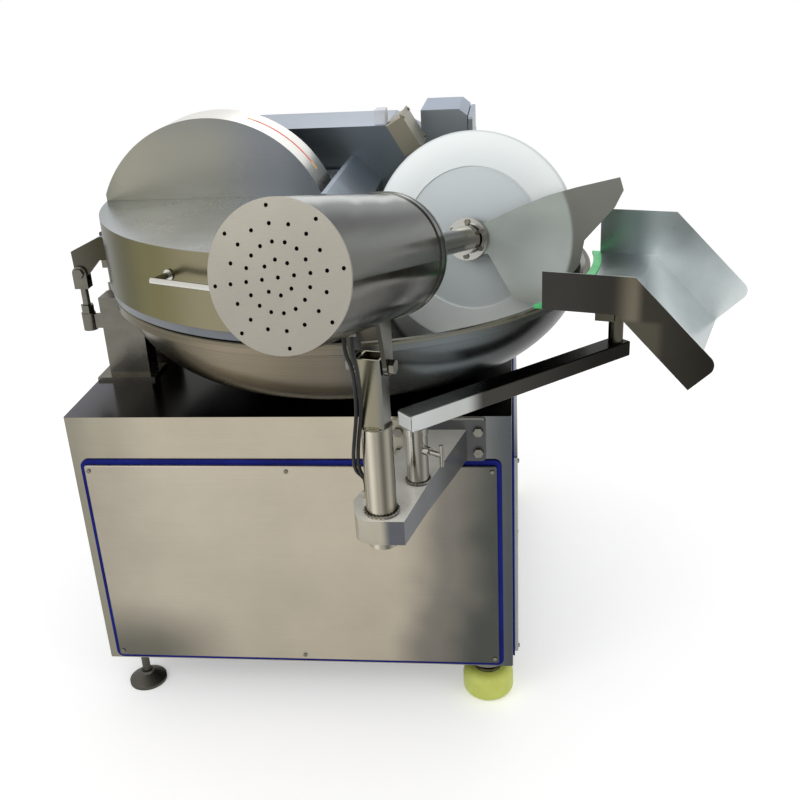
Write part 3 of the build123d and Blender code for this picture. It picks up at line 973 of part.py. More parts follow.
def chute_side(height, start):
    """Side view of floor or wall: flat, then falling at 45 degrees."""
    drop = CHUTE_END - CHUTE_BEND
    slant = height * sin(radians(45))
    return [(start, 0), (CHUTE_BEND, 0), (CHUTE_END, -drop), (CHUTE_END + slant, -drop + slant),
            (CHUTE_BEND + height * tan(radians(22.5)), height), (start, height)]


def across_chute(face, y0, y1):
    """A side view made solid from y0 to y1 across the chute."""
    return extrude(Plane(origin=(0, y1, 0), x_dir=(1, 0, 0), z_dir=(0, -1, 0)) * face, y1 - y0)


def chute():
    def wall(height, y0, y1):
        face = outline(chute_side(height, -CHUTE_BEFORE))
        return across_chute(fillet(face.vertices().sort_by(Axis.X)[-1], CHUTE_CORNER), y0, y1)
    body = across_chute(outline(chute_side(CHUTE_SHEET, -CHUTE_BEFORE)), 0, CHUTE_WIDE)
    body += wall(CHUTE_FRONT_WALL, 0, CHUTE_SHEET)
    body += wall(CHUTE_BACK_WALL, CHUTE_WIDE - CHUTE_SHEET, CHUTE_WIDE)
    along, across = CHUTE_PIN
    low = ARM_TOP_Z - ARM_BEAM_TALL + PIN_SEAT + 1 - CHUTE_FLOOR
    body += rod((along, across, low), (along, across, 1), CHUTE_PIN_R)
    start, end, width, tall = CHUTE_BLOCK
    body += block(start, end, across - width / 2, across + width / 2, -tall, 1)
    body = CHUTE * body
    body -= rod((0, 0, CHUTE_FLOOR - 200), (0, 0, CHUTE_FLOOR + 200), CHUTE_MOUTH_R)
    parts["chute"] = body
    edge = tube((0, 0, CHUTE_FLOOR - 0.5), (0, 0, CHUTE_FLOOR + STRIP_THICK), CHUTE_MOUTH_R - 0.1, STRIP_IN)
    gap = CHUTE_SHEET + 0.5
    between = CHUTE * block(-CHUTE_BEFORE, STRIP_END, gap, CHUTE_WIDE - gap, -10, 50)
    parts["mouth_strip"] = edge & between


def chute_arm():
    pin = CHUTE.from_local_coords(Vector(*CHUTE_PIN, 0))
    start, end = Vector(COLUMN_X, COLUMN_Y, 0), Vector(pin.X, pin.Y, 0)
    low, high = ARM_TOP_Z - ARM_BEAM_TALL, ARM_TOP_Z
    length = (end - start).length + ARM_OVER_COLUMN + ARM_OVER_PIN
    beam = Box(length, ARM_BEAM_WIDE, ARM_BEAM_TALL, align=(Align.MIN, Align.CENTER, Align.MIN))
    beam = fillet(beam.edges().filter_by(Axis.X), ARM_EDGE_ROUND)
    beam = Pos(-ARM_OVER_COLUMN, 0, 0) * fillet(beam.edges().filter_by(Axis.Z), ARM_END_ROUND)
    beam = Plane(origin=(COLUMN_X, COLUMN_Y, low), x_dir=end - start, z_dir=(0, 0, 1)) * beam
    beam -= rod((pin.X, pin.Y, low + PIN_SEAT), (pin.X, pin.Y, high + 1), CHUTE_PIN_R + RUN)
    beam += rod((COLUMN_X, COLUMN_Y, low - SWIVEL_DEEP), (COLUMN_X, COLUMN_Y, low + 1), SWIVEL_R)
    parts["chute_arm"] = beam
    top = low - SEAT
    column = rod((COLUMN_X, COLUMN_Y, STRAP_HIGH), (COLUMN_X, COLUMN_Y, top), COLUMN_R)
    column += rod((COLUMN_X, COLUMN_Y, top - COLLAR_LONG), (COLUMN_X, COLUMN_Y, top), COLUMN_R + COLLAR_PROUD)
    heading = radians(CLAMP_HEADING)
    side = Vector(cos(heading), sin(heading), 0)
    at = Vector(COLUMN_X, COLUMN_Y, top - CLAMP_DOWN)
    boss_end = at + side * (COLUMN_R + CLAMP_BOSS_LONG)
    screw_in, screw_out = at + side * (SWIVEL_R + 1), at + side * (COLUMN_R + CLAMP_LONG)
    column += rod(tuple(at), tuple(boss_end), CLAMP_BOSS_R)
    column -= rod(tuple(at), tuple(boss_end + side), CLAMP_R + RUN)
    column -= rod((COLUMN_X, COLUMN_Y, low - SWIVEL_DEEP - 2), (COLUMN_X, COLUMN_Y, top + 1), SWIVEL_R + RUN)
    parts["chute_column"] = column
    screw = rod(tuple(screw_in), tuple(screw_out), CLAMP_R)
    reach = Vector(0, 0, CLAMP_BAR_HALF)
    screw += rod(tuple(screw_out - reach), tuple(screw_out + reach), CLAMP_BAR_R)
    parts["clamp_screw"] = screw


# ---- build and write --------------------------------------------------------------------------------
cabinet()
base_frame()
panels()
feet()
bowl()
knife_head()
hood()
fixed_cover()
lid()
lid_handle()
lid_hinges()
electrics()
electrical_box()
disc()
scraper()
unloader_body()
housing_ends()
arm_and_gearmotor()
post_and_mast()
bracket()
cables()
chute()
chute_arm()

whole = Compound([one(shape) for shape in parts.values()]).bounding_box()
shift = Pos(-(whole.min.X + whole.max.X) / 2, -(whole.min.Y + whole.max.Y) / 2, -whole.min.Z)
os.makedirs("parts", exist_ok=True)
for name, shape in parts.items():
    export_step(shift * one(shape), f"parts/{name}.step")
print("shift", shift.position)
print("box", whole.min, whole.max)
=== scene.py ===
import math

import bmesh
import bpy
from mathutils import Matrix, Vector

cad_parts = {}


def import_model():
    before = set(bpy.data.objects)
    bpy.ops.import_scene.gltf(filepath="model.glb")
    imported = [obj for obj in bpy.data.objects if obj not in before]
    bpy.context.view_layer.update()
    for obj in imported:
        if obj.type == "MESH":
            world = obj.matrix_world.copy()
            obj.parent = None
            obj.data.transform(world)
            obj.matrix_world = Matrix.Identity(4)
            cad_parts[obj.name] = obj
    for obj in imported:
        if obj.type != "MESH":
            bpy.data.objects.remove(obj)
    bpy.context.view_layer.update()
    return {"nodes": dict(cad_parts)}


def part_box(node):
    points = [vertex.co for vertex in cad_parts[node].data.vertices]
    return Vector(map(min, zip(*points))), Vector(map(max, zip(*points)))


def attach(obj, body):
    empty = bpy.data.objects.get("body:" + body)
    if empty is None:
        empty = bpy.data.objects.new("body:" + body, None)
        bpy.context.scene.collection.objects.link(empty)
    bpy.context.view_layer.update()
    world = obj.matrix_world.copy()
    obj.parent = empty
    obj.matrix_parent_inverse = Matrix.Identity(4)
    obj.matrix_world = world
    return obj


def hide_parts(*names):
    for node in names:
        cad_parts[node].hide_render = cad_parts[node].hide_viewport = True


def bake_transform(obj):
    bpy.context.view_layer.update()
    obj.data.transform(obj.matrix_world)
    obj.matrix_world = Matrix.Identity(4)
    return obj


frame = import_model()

# ---- places -----------------------------------------------------------------------------------------
# Lengths are millimetres from the bowl's axis and the floor, as in the part's own source.
BOWL_LOW, BOWL_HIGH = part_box("bowl")
AXIS_X = (BOWL_LOW[0] + BOWL_HIGH[0]) / 2
AXIS_Y = (BOWL_LOW[1] + BOWL_HIGH[1]) / 2


def at(x, y, z):
    """A point of the frame, in metres."""
    return Vector((AXIS_X + x / 1000, AXIS_Y + y / 1000, z / 1000))


# camera: place, heading to the left of +Y, pitch below the horizon and roll, with the focal length in
# picture widths
CAMERA_AT = at(373.2, -2288.7, 1694.2)
HEADING, PITCH, ROLL = math.radians(7.0), math.radians(23.66), math.radians(-3.12)
FOCAL_WIDTHS = 1009.9 / 800

# unloader's own axes: the disc's centre, across, up and along the axis to the motor
DISC_AT = at(284, -100, 1118)
TURN, TILT = math.radians(13.2), math.radians(11.7)
ALONG = Vector((-math.sin(TURN) * math.cos(TILT), -math.cos(TURN) * math.cos(TILT), math.sin(TILT)))
ACROSS = Vector((math.cos(TURN), -math.sin(TURN), 0))
UPWARD = ALONG.cross(ACROSS)
HOUSING_R, HOUSING_FRONT = 105, 975

# chute's heading, and the point from which its near wall is told apart
CHUTE_TURN = math.radians(-17)
CHUTE_AT = at(428, -380, 1046)

# unloader's post and the chute's column on the bracket's strap, the lid, its round knife cover and the rim
POST, TUBE_TOP = (129, -667), 931
COLUMN = (187, -547)
STRAP_HIGH = 752
LID_R, LID_LOW = 556, 1061
DRUM_X, DRUM_Z, DRUM_R = -305, 1120, 271
RIM_Z = 1038
UP = Vector((0, 0, 1))


def unloader(u, v, w):
    """A point given across, above and along the unloader's axis from the disc's centre."""
    return DISC_AT + (ACROSS * u + UPWARD * v + ALONG * w) / 1000


# ---- colours ----------------------------------------------------------------------------------------
def colour(red, green, blue):
    """Linear colour from 0 to 255 screen values."""
    def linear(v):
        v /= 255
        return v / 12.92 if v <= 0.04045 else ((v + 0.055) / 1.055) ** 2.4
    return (linear(red), linear(green), linear(blue), 1.0)


# ---- node helpers -----------------------------------------------------------------------------------
MIX_A, MIX_B, MIX_RESULT = 6, 7, 2      # colour sockets of a mix node
BUMP_DEPTH = 0.001      # metres


class Tree:
    """Short calls that add nodes to one tree and link them."""

    def __init__(self, tree):
        self.tree = tree
        tree.nodes.clear()

    def add(self, kind, settings=None, **inputs):
        made = self.tree.nodes.new(kind)
        for key, value in (settings or {}).items():
            setattr(made, key, value)
        for key, value in inputs.items():
            self.put(made.inputs[key.replace("_", " ")], value)
        return made

    def put(self, socket, value):
        if isinstance(value, bpy.types.NodeSocket):
            self.tree.links.new(value, socket)
        else:
            socket.default_value = value

    def math(self, operation, a, b):
        made = self.add("ShaderNodeMath", {"operation": operation})
        self.put(made.inputs[0], a)
        self.put(made.inputs[1], b)
        return made.outputs[0]

    def vector(self, operation, a, b=(0, 0, 0), out=0):
        made = self.add("ShaderNodeVectorMath", {"operation": operation})
        self.put(made.inputs[0], a)
        self.put(made.inputs[1], b)
        return made.outputs[out]

    def mix(self, factor, a, b):
        made = self.add("ShaderNodeMix", {"data_type": "RGBA"})
        self.put(made.inputs[0], factor)
        self.put(made.inputs[MIX_A], a)
        self.put(made.inputs[MIX_B], b)
        return made.outputs[MIX_RESULT]

    def span(self, value, low, high, to_low=0.0, to_high=1.0, kind="SMOOTHSTEP"):
        """value, taken from low to high, as a number from to_low to to_high."""
        made = self.add("ShaderNodeMapRange", {"interpolation_type": kind})
        for socket, number in zip(made.inputs, (value, low, high, to_low, to_high)):
            self.put(socket, number)
        return made.outputs[0]

    def ramp(self, value, stops):
        """Colours, as 0 to 255 screen values, blended smoothly between the values they stand at."""
        low, high = stops[0][0], stops[-1][0]
        made = self.add("ShaderNodeValToRGB", Fac=self.span(value, low, high, kind="LINEAR"))
        made.color_ramp.interpolation = "EASE"
        elements = made.color_ramp.elements
        while len(elements) > 1:
            elements.remove(elements[-1])
        elements[0].position, elements[0].color = 0.0, colour(*stops[0][1])
        for place, shade in stops[1:]:
            elements.new((place - low) / (high - low)).color = colour(*shade)
        return made.outputs["Color"]

    def noise(self, where, scale, detail=3.0, roughness=0.55):
        return self.add("ShaderNodeTexNoise", Vector=where, Scale=scale, Detail=detail,
                        Roughness=roughness).outputs["Fac"]

    def object_point(self):
        return self.add("ShaderNodeTexCoord").outputs["Object"]

    def normal(self):
        return self.add("ShaderNodeTexCoord").outputs["Normal"]

    def bump(self, strength, height):
        return self.add("ShaderNodeBump", Strength=strength, Distance=BUMP_DEPTH, Height=height).outputs[0]

    def stretched(self, where, scale, turn=(0, 0, 0)):
        return self.add("ShaderNodeMapping", Vector=where, Scale=scale, Rotation=turn).outputs[0]

    def seen_directly(self):
        """1 for rays from the camera, mirrored or let through, and 0 for rays that only light a surface."""
        path = self.add("ShaderNodeLightPath").outputs
        seen = self.math("MAXIMUM", path["Is Camera Ray"], path["Is Glossy Ray"])
        return self.math("MAXIMUM", seen, path["Is Transmission Ray"])


def new_material(name):
    made = bpy.data.materials.new(name)
    made.use_nodes = True
    return made, Tree(made.node_tree)


def close(tree, shader):
    tree.add("ShaderNodeOutputMaterial", Surface=shader.outputs[0])


# ---- materials --------------------------------------------------------------------------------------
def machine_point(tree):
    """Millimetres from the bowl's axis and the floor, which stay with a part as it moves."""
    shifted = tree.vector("SUBTRACT", tree.object_point(), (AXIS_X, AXIS_Y, 0))
    return tree.vector("MULTIPLY", shifted, (1000, 1000, 1000))


def lies_in(tree, value, low, high, soft):
    """1 where value is between low and high, with soft edges."""
    rise = tree.span(value, low - soft, low + soft)
    return tree.math("MULTIPLY", rise, tree.span(value, high - soft, high + soft, 1.0, 0.0))


def facing(tree, direction, least=0.5):
    """1 where the surface looks along direction."""
    return tree.span(tree.vector("DOT_PRODUCT", tree.normal(), direction, out=1), least - 0.1, least + 0.1)


SCRATCH = 0.02      # bump strength of the grain in steel


def steel(name, paint, rough=0.28, grain=(6, 350, 900), grain_amount=0.035, blotch=4.0, blotch_amount=0.10,
          rings=None, metallic=1.0):
    """Stainless steel whose tone comes from paint(tree, x, y, z), with cloudy marks and a fine grain.

    rings, a centre and an axis, makes the grain run in circles as a lathe leaves it."""
    made, tree = new_material(name)
    point = tree.object_point()
    parts = tree.add("ShaderNodeSeparateXYZ", Vector=machine_point(tree)).outputs
    tone = paint(tree, parts["X"], parts["Y"], parts["Z"])
    if rings is None:
        lines_at = tree.stretched(point, grain)
    else:
        centre, axis = rings
        offset = tree.vector("SUBTRACT", point, centre)
        lift = tree.vector("DOT_PRODUCT", offset, axis, out=1)
        radius = tree.vector("LENGTH", tree.vector("CROSS_PRODUCT", offset, axis), out=1)
        lines_at = tree.add("ShaderNodeCombineXYZ", X=tree.math("MULTIPLY", radius, grain[0]),
                            Y=tree.math("MULTIPLY", lift, grain[1])).outputs[0]
    lines = tree.noise(lines_at, 1.0, 3.0, 0.6)
    cloud = tree.noise(point, blotch, 5.0, 0.6)
    light = tree.math("MULTIPLY", tree.span(lines, 0.25, 0.75, 1 - grain_amount, 1 + grain_amount, "LINEAR"),
                      tree.span(cloud, 0.25, 0.75, 1 - blotch_amount, 1 + blotch_amount, "LINEAR"))
    grey = tree.add("ShaderNodeCombineXYZ", X=light, Y=light, Z=light).outputs[0]
    tone = tree.vector("MULTIPLY", tone, grey)
    shader = tree.add("ShaderNodeBsdfPrincipled", Metallic=metallic, Base_Color=tone,
                      Roughness=tree.span(cloud, 0.3, 0.7, rough - 0.04, rough + 0.06, "LINEAR"),
                      Specular_Tint=tree.mix(0.3, (1, 1, 1, 1), tone), Normal=tree.bump(SCRATCH, lines))
    close(tree, shader)
    return made


def coated(name, base, dark, rough=0.5, fine=900.0, bump=0.05, metallic=0.0, blotch=6.0, shine=0.5):
    """Paint, rubber or plastic: cloudy tone, faint dirt and a fine pebble."""
    made, tree = new_material(name)
    point = tree.object_point()
    cloud = tree.noise(point, blotch, 5.0, 0.6)
    pebble = tree.noise(point, fine, 2.0)
    tone = tree.mix(tree.span(cloud, 0.35, 0.7), base, dark)
    shader = tree.add("ShaderNodeBsdfPrincipled", Metallic=metallic, Base_Color=tone,
                      Specular_IOR_Level=shine,
                      Roughness=tree.span(cloud, 0.3, 0.7, rough - 0.06, rough + 0.08),
                      Normal=tree.bump(bump, pebble))
    close(tree, shader)
    return made


def plain(red, green, blue):
    """One tone, a little darker and lighter in clouds."""
    return lambda tree, x, y, z: tree.mix(tree.noise(tree.object_point(), 3.0),
                                          colour(red * 0.94, green * 0.94, blue * 0.93),
                                          colour(red * 1.06, green * 1.06, blue * 1.05))


def tube_sheen(dark, middle, bright):
    """Painted reflection bands round an upright or lying tube, set by the way each face looks, as polished
    metal shows them.
    """
    across = (0.97, -0.23, 0)

    def paint(tree, x, y, z):
        turn = tree.vector("DOT_PRODUCT", tree.normal(), across, out=1)
        return tree.ramp(turn, [(-1, middle), (-0.8, bright), (-0.5, middle), (-0.15, bright), (0.25, middle),
                                (0.6, dark), (0.88, middle), (1, dark)])
    return paint


def paint_front_panel(tree, x, y, z):
    # painted shade: the panel goes from light at its left end to dark at its right end, with a wavy edge
    wave = tree.math("ADD", x, tree.span(tree.noise(tree.object_point(), 2.2), 0.2, 0.8, -60, 60))
    tone = tree.ramp(wave, [(-640, (158, 151, 137)), (-420, (178, 170, 154)), (60, (178, 169, 152)),
                            (200, (120, 116, 108)), (330, (76, 78, 74))])
    # painted shade in the panel's lower left corner
    corner = tree.math("MULTIPLY", tree.span(x, -520, -260, 1, 0), tree.span(z, 150, 320, 1, 0))
    return tree.mix(tree.math("MULTIPLY", corner, 0.85), tone, colour(92, 91, 83))


def paint_cabinet(tree, x, y, z):
    # painted shade: the sides darken towards the right end
    side = tree.ramp(x, [(-640, (134, 130, 116)), (-560, (154, 148, 132)), (-460, (168, 160, 143)),
                         (190, (174, 166, 148)), (280, (112, 112, 110)), (369, (78, 82, 84))])
    # painted shade: the top is near black from its left end on
    top = tree.ramp(x, [(-640, (92, 92, 97)), (-540, (64, 62, 62)), (-440, (8, 7, 3)), (-250, (6, 5, 2)),
                        (369, (30, 27, 20))])
    return tree.mix(facing(tree, (0, 0, 1)), side, top)


def paint_bowl(tree, x, y, z):
    outward = tree.add("ShaderNodeCombineXYZ", X=x, Y=y, Z=0.0).outputs[0]
    inside = tree.span(tree.vector("DOT_PRODUCT", tree.normal(), outward, out=1), -40, -10, 1, 0)
    # painted reflection bands across the outside, lighter and darker by x
    skin = tree.ramp(x, [(-550, (112, 106, 88)), (-330, (95, 89, 73)), (-170, (134, 124, 106)),
                         (0, (112, 104, 90)), (110, (84, 86, 84)), (240, (98, 104, 106)), (400, (54, 56, 54)),
                         (550, (64, 66, 64))])
    # painted shade on the lower part of the bowl
    skin = tree.mix(tree.span(z, 880, 960, 0.75, 0.0), skin, colour(24, 22, 18))
    # painted light along the rim in one even tone
    rim = lies_in(tree, z, 1030, 1045, 3)
    skin = tree.mix(tree.math("MULTIPLY", rim, 0.6), skin, colour(106, 102, 86))
    # painted light: faces looking inwards, the bowl's inside, take one light tone
    return tree.mix(inside, skin, colour(186, 186, 178))


def paint_lid(tree, x, y, z):
    # painted light and shade: each tone below is set by x, height and the way a face looks
    skirt = tree.ramp(x, [(-700, (88, 86, 78)), (-565, (60, 58, 44)), (-545, (44, 42, 24)),
                          (-430, (80, 77, 49)), (-330, (112, 108, 75)), (-200, (134, 128, 104)),
                          (-40, (122, 117, 98))])
    wall = tree.ramp(x, [(-580, (122, 124, 114)), (-500, (152, 150, 137)), (-320, (147, 146, 136)),
                         (-160, (127, 131, 135)), (-60, (110, 115, 119))])
    # painted reflection: the drum's flat side turns bluish towards its top
    wall = tree.mix(tree.span(z, 1330, 1400, 0, 0.35), wall, colour(112, 118, 122))
    # painted reflection of the sky on the upward faces
    top = tree.ramp(x, [(-560, (122, 134, 144)), (-350, (138, 150, 162)), (-100, (152, 163, 174))])
    # painted highlight on the drum's curved face
    band = tree.ramp(x, [(-580, (176, 176, 168)), (-305, (232, 230, 224)), (-200, (246, 244, 240)),
                         (-60, (222, 222, 218)), (-30, (160, 160, 156))])
    high = tree.span(z, 1212.5, 1215.5)
    flat = tree.mix(facing(tree, (0, 0, 1), 0.9), skirt, top)
    raised = tree.mix(tree.math("MAXIMUM", facing(tree, (0, -1, 0)), facing(tree, (0, 1, 0))), band, wall)
    return tree.mix(high, flat, raised)


def paint_housing(tree, x, y, z):
    # painted reflection bands round the housing, set by how far a face looks up, with a bright highlight line
    # near the top; streaks along the axis waver the bands
    lift = tree.vector("DOT_PRODUCT", tree.normal(), UPWARD, out=1)
    streaks = tree.noise(tree.stretched(tree.object_point(), (2, 2, 26), (0.0, 0.0, TURN)), 1.0, 3.0)
    lift = tree.math("ADD", lift, tree.span(streaks, 0.3, 0.7, -0.03, 0.03))
    return tree.ramp(lift, [(-1, (58, 56, 48)), (-0.8, (84, 82, 74)), (-0.64, (168, 168, 162)),
                            (-0.52, (60, 59, 52)), (-0.3, (72, 71, 64)), (-0.1, (106, 105, 99)),
                            (0.2, (98, 98, 93)), (0.45, (110, 112, 108)), (0.7, (70, 72, 70)),
                            (0.86, (104, 108, 106)), (0.95, (190, 193, 190)), (1.05, (96, 100, 98))])


def disc_reach(tree):
    """Millimetres from the unloader's axis."""
    offset = tree.vector("SUBTRACT", tree.object_point(), DISC_AT)
    square = tree.vector("CROSS_PRODUCT", offset, ALONG)
    return tree.math("MULTIPLY", tree.vector("LENGTH", square, out=1), 1000)


def paint_disc(tree, x, y, z):
    # painted light: the conical outer ring lighter than the flat middle, a little darker at the edge
    return tree.ramp(disc_reach(tree), [(0, (190, 197, 199)), (150, (199, 206, 208)), (156, (222, 227, 227)),
                                        (225, (236, 241, 240)), (231, (206, 212, 212))])


def paint_scraper(tree, x, y, z):
    # painted light and shade: the blade darkens upwards
    blade = tree.ramp(z, [(900, (204, 211, 207)), (1060, (190, 197, 192)), (1180, (160, 167, 161)),
                          (1260, (142, 148, 142))])
    # painted shade on the flap beyond the disc's edge
    flap = tree.span(disc_reach(tree), 222, 232)
    return tree.mix(flap, blade, colour(112, 113, 107))


def paint_chute(tree, x, y, z):
    # painted reflection on the inner faces, brightest at the right end
    inner = tree.ramp(x, [(470, (176, 184, 184)), (600, (158, 166, 164)), (650, (164, 172, 174)),
                          (700, (222, 228, 228)), (760, (206, 212, 212))])
    away = (math.sin(CHUTE_TURN), -math.cos(CHUTE_TURN), 0)
    # painted shade and reflection on the near wall's outer face, with a lighter line at x≈600
    near = tree.ramp(x, [(430, (60, 59, 56)), (560, (52, 50, 46)), (600, (104, 98, 84)), (622, (56, 54, 48)),
                         (760, (38, 36, 32))])
    offset = tree.vector("SUBTRACT", tree.object_point(), CHUTE_AT)
    across = tree.vector("DOT_PRODUCT", offset, away, out=1)
    outer = tree.math("MULTIPLY", facing(tree, away), tree.span(across, -0.03, -0.02))
    skin = tree.mix(outer, inner, near)
    # painted shade on the faces below the rim's height
    below = tree.mix(tree.span(x, 640, 660), colour(76, 73, 63), skin)
    return tree.mix(tree.span(z, 1030, 1042, 1, 0), skin, below)


def paint_chute_arm(tree, x, y, z):
    # painted reflection: front and top faces light at the left end and dark from x≈300 on
    front = tree.ramp(x, [(160, (184, 187, 186)), (280, (176, 178, 175)), (316, (62, 60, 56)),
                          (600, (26, 25, 22))])
    top = tree.ramp(x, [(160, (206, 208, 206)), (285, (190, 190, 186)), (325, (36, 34, 30)),
                        (600, (28, 27, 24))])
    return tree.mix(facing(tree, (0, 0, 1), 0.8), front, top)


def paint_bracket(tree, x, y, z):
    # painted shade on the front from x≈148 on; painted light on the top faces
    front = tree.ramp(x, [(60, (120, 118, 108)), (95, (176, 170, 152)), (128, (174, 168, 150)),
                          (148, (84, 86, 92)), (260, (80, 81, 80)), (330, (74, 76, 76))])
    return tree.mix(facing(tree, (0, 0, 1), 0.8), front, colour(244, 242, 232))


def paint_mast(tree, x, y, z):
    # painted sheen bands across the mast
    return tree.ramp(x, [(100, (98, 96, 80)), (112, (134, 130, 110)), (132, (128, 124, 106)),
                         (146, (108, 108, 103)), (160, (92, 92, 89))])


def paint_cover(tree, x, y, z):
    # painted light: the front lightest at mid height, and the upward faces a light bluish painted sky
    # reflection
    front = tree.ramp(z, [(1060, (82, 88, 92)), (1180, (112, 119, 122)), (1320, (98, 106, 112))])
    return tree.mix(facing(tree, (0, 0, 1), 0.4), front, colour(164, 173, 184))


def paint_electrical(tree, x, y, z):
    # painted reflection: upward faces a bluer tone than the sides
    return tree.mix(facing(tree, (0, 0, 1), 0.4), colour(158, 164, 168), colour(146, 157, 171))


MATERIALS = {
    "front_panel": steel("front_panel_steel", paint_front_panel, 0.34, grain=(5, 300, 700)),
    "cabinet": steel("cabinet_steel", paint_cabinet, 0.16, grain=(5, 300, 700)),
    "side_panel": steel("side_panel_steel", plain(150, 154, 154), 0.34),
    "frame_steel": steel("base_frame_steel", plain(90, 88, 82), 0.45, (40, 40, 40)),
    "bowl": steel("turned_bowl_steel", paint_bowl, 0.24, (900, 260), grain_amount=0.14,
                  rings=(at(0, 0, 0), (0, 0, 1))),
    "lid": steel("lid_steel", paint_lid, 0.26, blotch_amount=0.06),
    "cover": steel("cover_steel", paint_cover, 0.3),
    "elec": steel("electrical_steel", paint_electrical, 0.34),
    "switch": steel("switch_box_steel", plain(142, 137, 122), 0.26),
    "housing": steel("housing_steel", paint_housing, 0.16, grain_amount=0.02, blotch=9.0, blotch_amount=0.08),
    "ring": steel("housing_ring_steel", plain(116, 122, 120), 0.2),
    "end_cover": steel("vented_cover_steel", plain(155, 151, 142), 0.36, blotch_amount=0.04),
    "disc": steel("disc_steel", paint_disc, 0.42, (500, 1), grain_amount=0.015, rings=(DISC_AT, ALONG),
                  metallic=0.4, blotch_amount=0.03),
    "polished": steel("polished_steel", tube_sheen((92, 90, 84), (140, 138, 130), (204, 203, 196)), 0.16),
    "post": steel("post_steel", tube_sheen((92, 89, 80), (146, 141, 128), (196, 190, 174)), 0.2),
    "hinge": steel("hinge_steel", plain(110, 108, 100), 0.26, blotch=20.0, blotch_amount=0.2),
    "scraper": steel("scraper_steel", paint_scraper, 0.34, blotch_amount=0.08),
    "chute": steel("chute_steel", paint_chute, 0.3, blotch=7.0, blotch_amount=0.12),
    "arm": steel("chute_arm_steel", paint_chute_arm, 0.24, grain_amount=0.02),
    "bracket": steel("bracket_steel", paint_bracket, 0.3, blotch=9.0, metallic=0.15),
    "mast": steel("mast_steel", paint_mast, 0.22, grain=(600, 600, 6)),
    "fastener": steel("fastener_steel", plain(118, 116, 108), 0.3, (200, 200, 200), blotch=60.0,
                      blotch_amount=0.25),
    "knife": steel("knife_steel", plain(186, 190, 194), 0.2, (300, 3, 3)),
    "cast": coated("cast_iron", colour(86, 90, 92), colour(60, 63, 66), 0.55, 700.0, 0.35, 0.6),
    "paint": coated("motor_paint", colour(66, 82, 104), colour(48, 60, 80), 0.4, 600.0, 0.10),
    "seal_blue": coated("blue_seal_rubber", colour(16, 30, 122), colour(12, 22, 104), 0.6, 1200.0, 0.1,
                        shine=0.15),
    "seal_black": coated("black_rubber", colour(26, 26, 26), colour(14, 14, 14), 0.55, 1500.0, 0.15,
                         shine=0.3),
    "cable": coated("cable_sheath", colour(18, 18, 19), colour(10, 10, 11), 0.4, 1800.0, 0.05, shine=0.3),
    "buffer": coated("cast_polyurethane", colour(224, 232, 128), colour(198, 206, 98), 0.42, 500.0, 0.08),
    "strip": coated("green_strip", colour(96, 224, 140), colour(60, 190, 108), 0.4, 900.0, 0.05),
    "white_plastic": coated("white_plastic", colour(222, 226, 232), colour(196, 200, 206), 0.35, 900.0,
                            0.03),
    "lid_strip": coated("lid_strip_plastic", colour(108, 112, 118), colour(90, 94, 100), 0.4, 900.0, 0.03),
    "red_stripe": coated("red_stripe_tone", colour(240, 92, 58), colour(226, 70, 44), 0.4, 900.0, 0.02),
    "yellow_stripe": coated("yellow_stripe_tone", colour(250, 196, 84), colour(240, 170, 60), 0.4, 900.0,
                            0.02),
    # black disc behind the vent holes: painted shade
    "painted_vent_shade": coated("painted_shade_black", colour(16, 16, 16), colour(8, 8, 8), 0.9, 1500.0, 0.3, shine=0.1),
}
NODE_MATERIALS = {
    "cabinet_shell": "cabinet", "front_panel": "front_panel", "rear_panel": "side_panel",
    "left_panel": "side_panel", "right_panel": "side_panel", "base_frame": "frame_steel",
    "panel_seals": "seal_blue", "panel_screws": "fastener", "levelling_feet": "frame_steel",
    "buffer_feet": "buffer", "buffer_hubs": "fastener", "bowl": "bowl", "bowl_spindle": "polished",
    "bowl_bearing_housing": "polished", "bowl_gearbox": "cast", "bowl_motor": "paint",
    "shaft_bearings": "polished", "knife_shaft": "polished", "knives": "knife", "knife_clamp_set": "knife",
    "knife_bearing_arm": "cast", "knife_pulley": "cast", "motor_pulley": "cast", "drive_belt": "seal_black",
    "main_motor": "paint", "motor_shaft": "polished", "spindle_hood": "cover", "fixed_cover": "cover",
    "lid_shell": "lid", "lid_handle": "polished", "hinge_pins": "hinge", "hinge_forks": "hinge",
    "hinge_lock_nuts": "hinge", "lid_posts": "hinge", "switch_box": "switch",
    "connector_block": "white_plastic", "electrical_cabinet": "elec", "electrical_door": "elec",
    "unloading_disc": "disc", "disc_shaft": "polished", "scraper": "scraper", "motor_housing": "housing",
    "housing_end_plate": "ring", "housing_seal": "seal_black", "vented_end_cover": "end_cover",
    "disc_gearmotor": "paint", "arm_tube": "polished", "flange_screws": "fastener",
    "unloader_post": "post", "unloader_mast": "mast", "pivot_bolt": "fastener",
    "wall_bracket": "bracket", "bracket_bolts": "fastener", "chute": "chute", "mouth_strip": "strip",
    "chute_arm": "arm", "chute_column": "polished", "clamp_screw": "polished",
    "right_cable": "cable", "left_cable": "cable",
}


def finish_nodes():
    for name, node in frame["nodes"].items():
        node.data.materials.clear()
        node.data.materials.append(MATERIALS[NODE_MATERIALS[name]])


# ---- mesh helpers -----------------------------------------------------------------------------------
SHARP_EDGE = math.radians(30)


def mesh_object(name, build, material):
    """A smooth mesh object made by build(bmesh) in the row frame."""
    mesh = bpy.data.meshes.new(name)
    work = bmesh.new()
    build(work)
    bmesh.ops.recalc_face_normals(work, faces=work.faces)
    work.to_mesh(mesh)
    work.free()
    made = bpy.data.objects.new(name, mesh)
    bpy.context.collection.objects.link(made)
    mesh.materials.append(MATERIALS[material])
    for face in mesh.polygons:
        face.use_smooth = True
    return made


